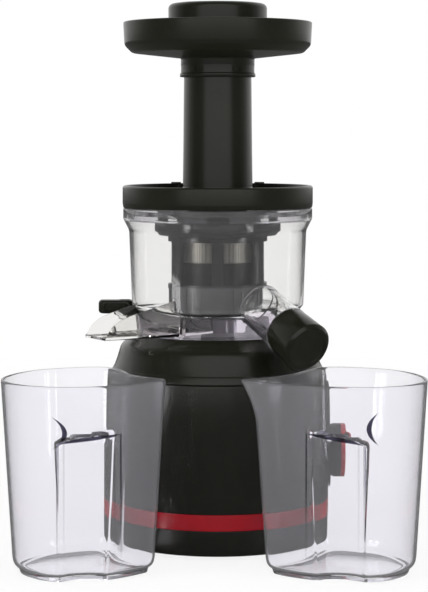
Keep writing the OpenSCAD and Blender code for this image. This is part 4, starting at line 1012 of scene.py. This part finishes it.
def floor():
    """White to the eye, with the set's shadow near it; its own reflection in the set is dark."""
    clear()
    bpy.ops.mesh.primitive_plane_add(size=FLOOR_SIZE, location=(0, 0, 0))
    piece = bpy.context.object
    piece.name = "floor"
    material = bpy.data.materials.new("floor")
    material.use_nodes = True
    tree = material.node_tree
    shader = tree.nodes["Principled BSDF"]
    shader.inputs["Base Color"].default_value = (0.88, 0.88, 0.88, 1)
    shader.inputs["Roughness"].default_value = 0.6
    shader.inputs["Specular IOR Level"].default_value = 0.1
    path = tree.nodes.new("ShaderNodeLightPath")
    place = tree.nodes.new("ShaderNodeTexCoord")
    away = tree.nodes.new("ShaderNodeVectorMath")
    away.operation = "LENGTH"
    tree.links.new(place.outputs["Object"], away.inputs[0])
    far = tree.nodes.new("ShaderNodeMapRange")
    (near_by, share_near), (far_off, share_far) = SHADOW_REACH
    far.inputs["From Min"].default_value = near_by
    far.inputs["From Max"].default_value = far_off
    far.inputs["To Min"].default_value = share_near
    far.inputs["To Max"].default_value = share_far
    tree.links.new(away.outputs["Value"], far.inputs["Value"])
    direct = maths(tree, "LESS_THAN", path.outputs["Diffuse Depth"], 0.5)
    white = maths(tree, "MULTIPLY", direct, far.outputs["Result"])
    bright = mixed(tree, white, shader.outputs[0], glow(tree, 1.0))
    mirrored = maths(tree, "GREATER_THAN", path.outputs["Glossy Depth"], 0.5)
    surface = mixed(tree, mirrored, bright, glow(tree, FLOOR_MIRRORED))
    tree.links.new(surface, tree.nodes["Material Output"].inputs["Surface"])
    piece.data.materials.append(material)


def world():
    """White to the eye; the reflections and the light see a studio with a softbox in front."""
    surroundings = bpy.data.worlds.new("studio")
    bpy.context.scene.world = surroundings
    surroundings.use_nodes = True
    tree = surroundings.node_tree
    tree.nodes.clear()
    output = tree.nodes.new("ShaderNodeOutputWorld")
    path = tree.nodes.new("ShaderNodeLightPath")
    place = tree.nodes.new("ShaderNodeTexCoord")
    split = tree.nodes.new("ShaderNodeSeparateXYZ")
    tree.links.new(place.outputs["Generated"], split.inputs[0])

    def ramp(axis, stops):
        """A grey ramp over a direction's share along one axis."""
        node = tree.nodes.new("ShaderNodeValToRGB")
        elements = node.color_ramp.elements
        while len(elements) < len(stops):
            elements.new(0.5)
        for element, (position, value) in zip(elements, stops):
            element.position = position / 2 + 0.5
            element.color = (value, value, value, 1)
        share = tree.nodes.new("ShaderNodeMapRange")
        share.inputs["From Min"].default_value = -1
        tree.links.new(split.outputs[axis], share.inputs["Value"])
        tree.links.new(share.outputs["Result"], node.inputs["Fac"])
        return node.outputs["Color"]

    def background(strength, colour=None):
        """White, or the colour of an output."""
        node = tree.nodes.new("ShaderNodeBackground")
        node.inputs["Strength"].default_value = strength
        if colour is None:
            node.inputs["Color"].default_value = (1, 1, 1, 1)
        else:
            tree.links.new(colour, node.inputs["Color"])
        return node.outputs[0]

    both = tree.nodes.new("ShaderNodeMixRGB")
    both.blend_type = "MULTIPLY"
    both.inputs["Fac"].default_value = 1
    tree.links.new(ramp("Y", MIRRORED_Y), both.inputs["Color1"])
    tree.links.new(ramp("Z", MIRRORED_Z), both.inputs["Color2"])
    reflected = maths(tree, "GREATER_THAN", path.outputs["Glossy Depth"], 0.5)
    light = mixed(tree, path.outputs["Is Transmission Ray"], background(SOFT_LIGHT),
                  background(1.0, ramp("Y", THROUGH_Y)))
    light = mixed(tree, reflected, light, background(1.0, both.outputs["Color"]))
    light = mixed(tree, path.outputs["Is Camera Ray"], light, background(1.0))
    tree.links.new(light, output.inputs["Surface"])


def lamp(name, spot, target, size, power):
    data = bpy.data.lights.new(name, "AREA")
    data.shape = "RECTANGLE"
    data.size, data.size_y = size
    data.energy = power
    light = bpy.data.objects.new(name, data)
    light.location = spot
    light.rotation_euler = (Vector(target) - Vector(spot)).to_track_quat("-Z", "Y").to_euler()
    light.visible_glossy = False
    bpy.context.scene.collection.objects.link(light)


def lights():
    lamp("left", (-1.15, -0.75, 0.65), (0, 0, 0.2), (0.35, 1.3), 11)
    lamp("right", (1.2, -0.7, 0.6), (0, 0, 0.2), (0.3, 1.3), 8)
    lamp("top", (0, -0.2, 1.6), (0, 0, 0.2), (1.0, 1.0), 9)


def camera():
    """Eye 312 mm above the table and 1.526 m before the axis, looking level."""
    width, height = 428, 592
    focal, centre_x, horizon_y = 2000, 217.7, 129        # in pixels of the picture
    data = bpy.data.cameras.new("camera")
    data.sensor_fit = "VERTICAL"
    data.sensor_height = 24
    data.lens = 24 * focal / height
    data.shift_y = (horizon_y - height / 2) / height
    data.shift_x = (width / 2 - centre_x) / height
    eye = bpy.data.objects.new("camera", data)
    eye.location = (0, -1.526, 0.312)
    eye.rotation_euler = (pi / 2, 0, 0)
    bpy.context.scene.collection.objects.link(eye)
    bpy.context.scene.camera = eye
    bpy.context.scene.view_settings.view_transform = "Standard"


finish_nodes()
for build in (housing, band, shoulder, pod, knob, bowl, chute, spout_cap, lever, funnel, lid,
              lid_rings, feed_tube, tray, tray_collar, pusher_cap, cups,
              floor, world, lights, camera):
    build()
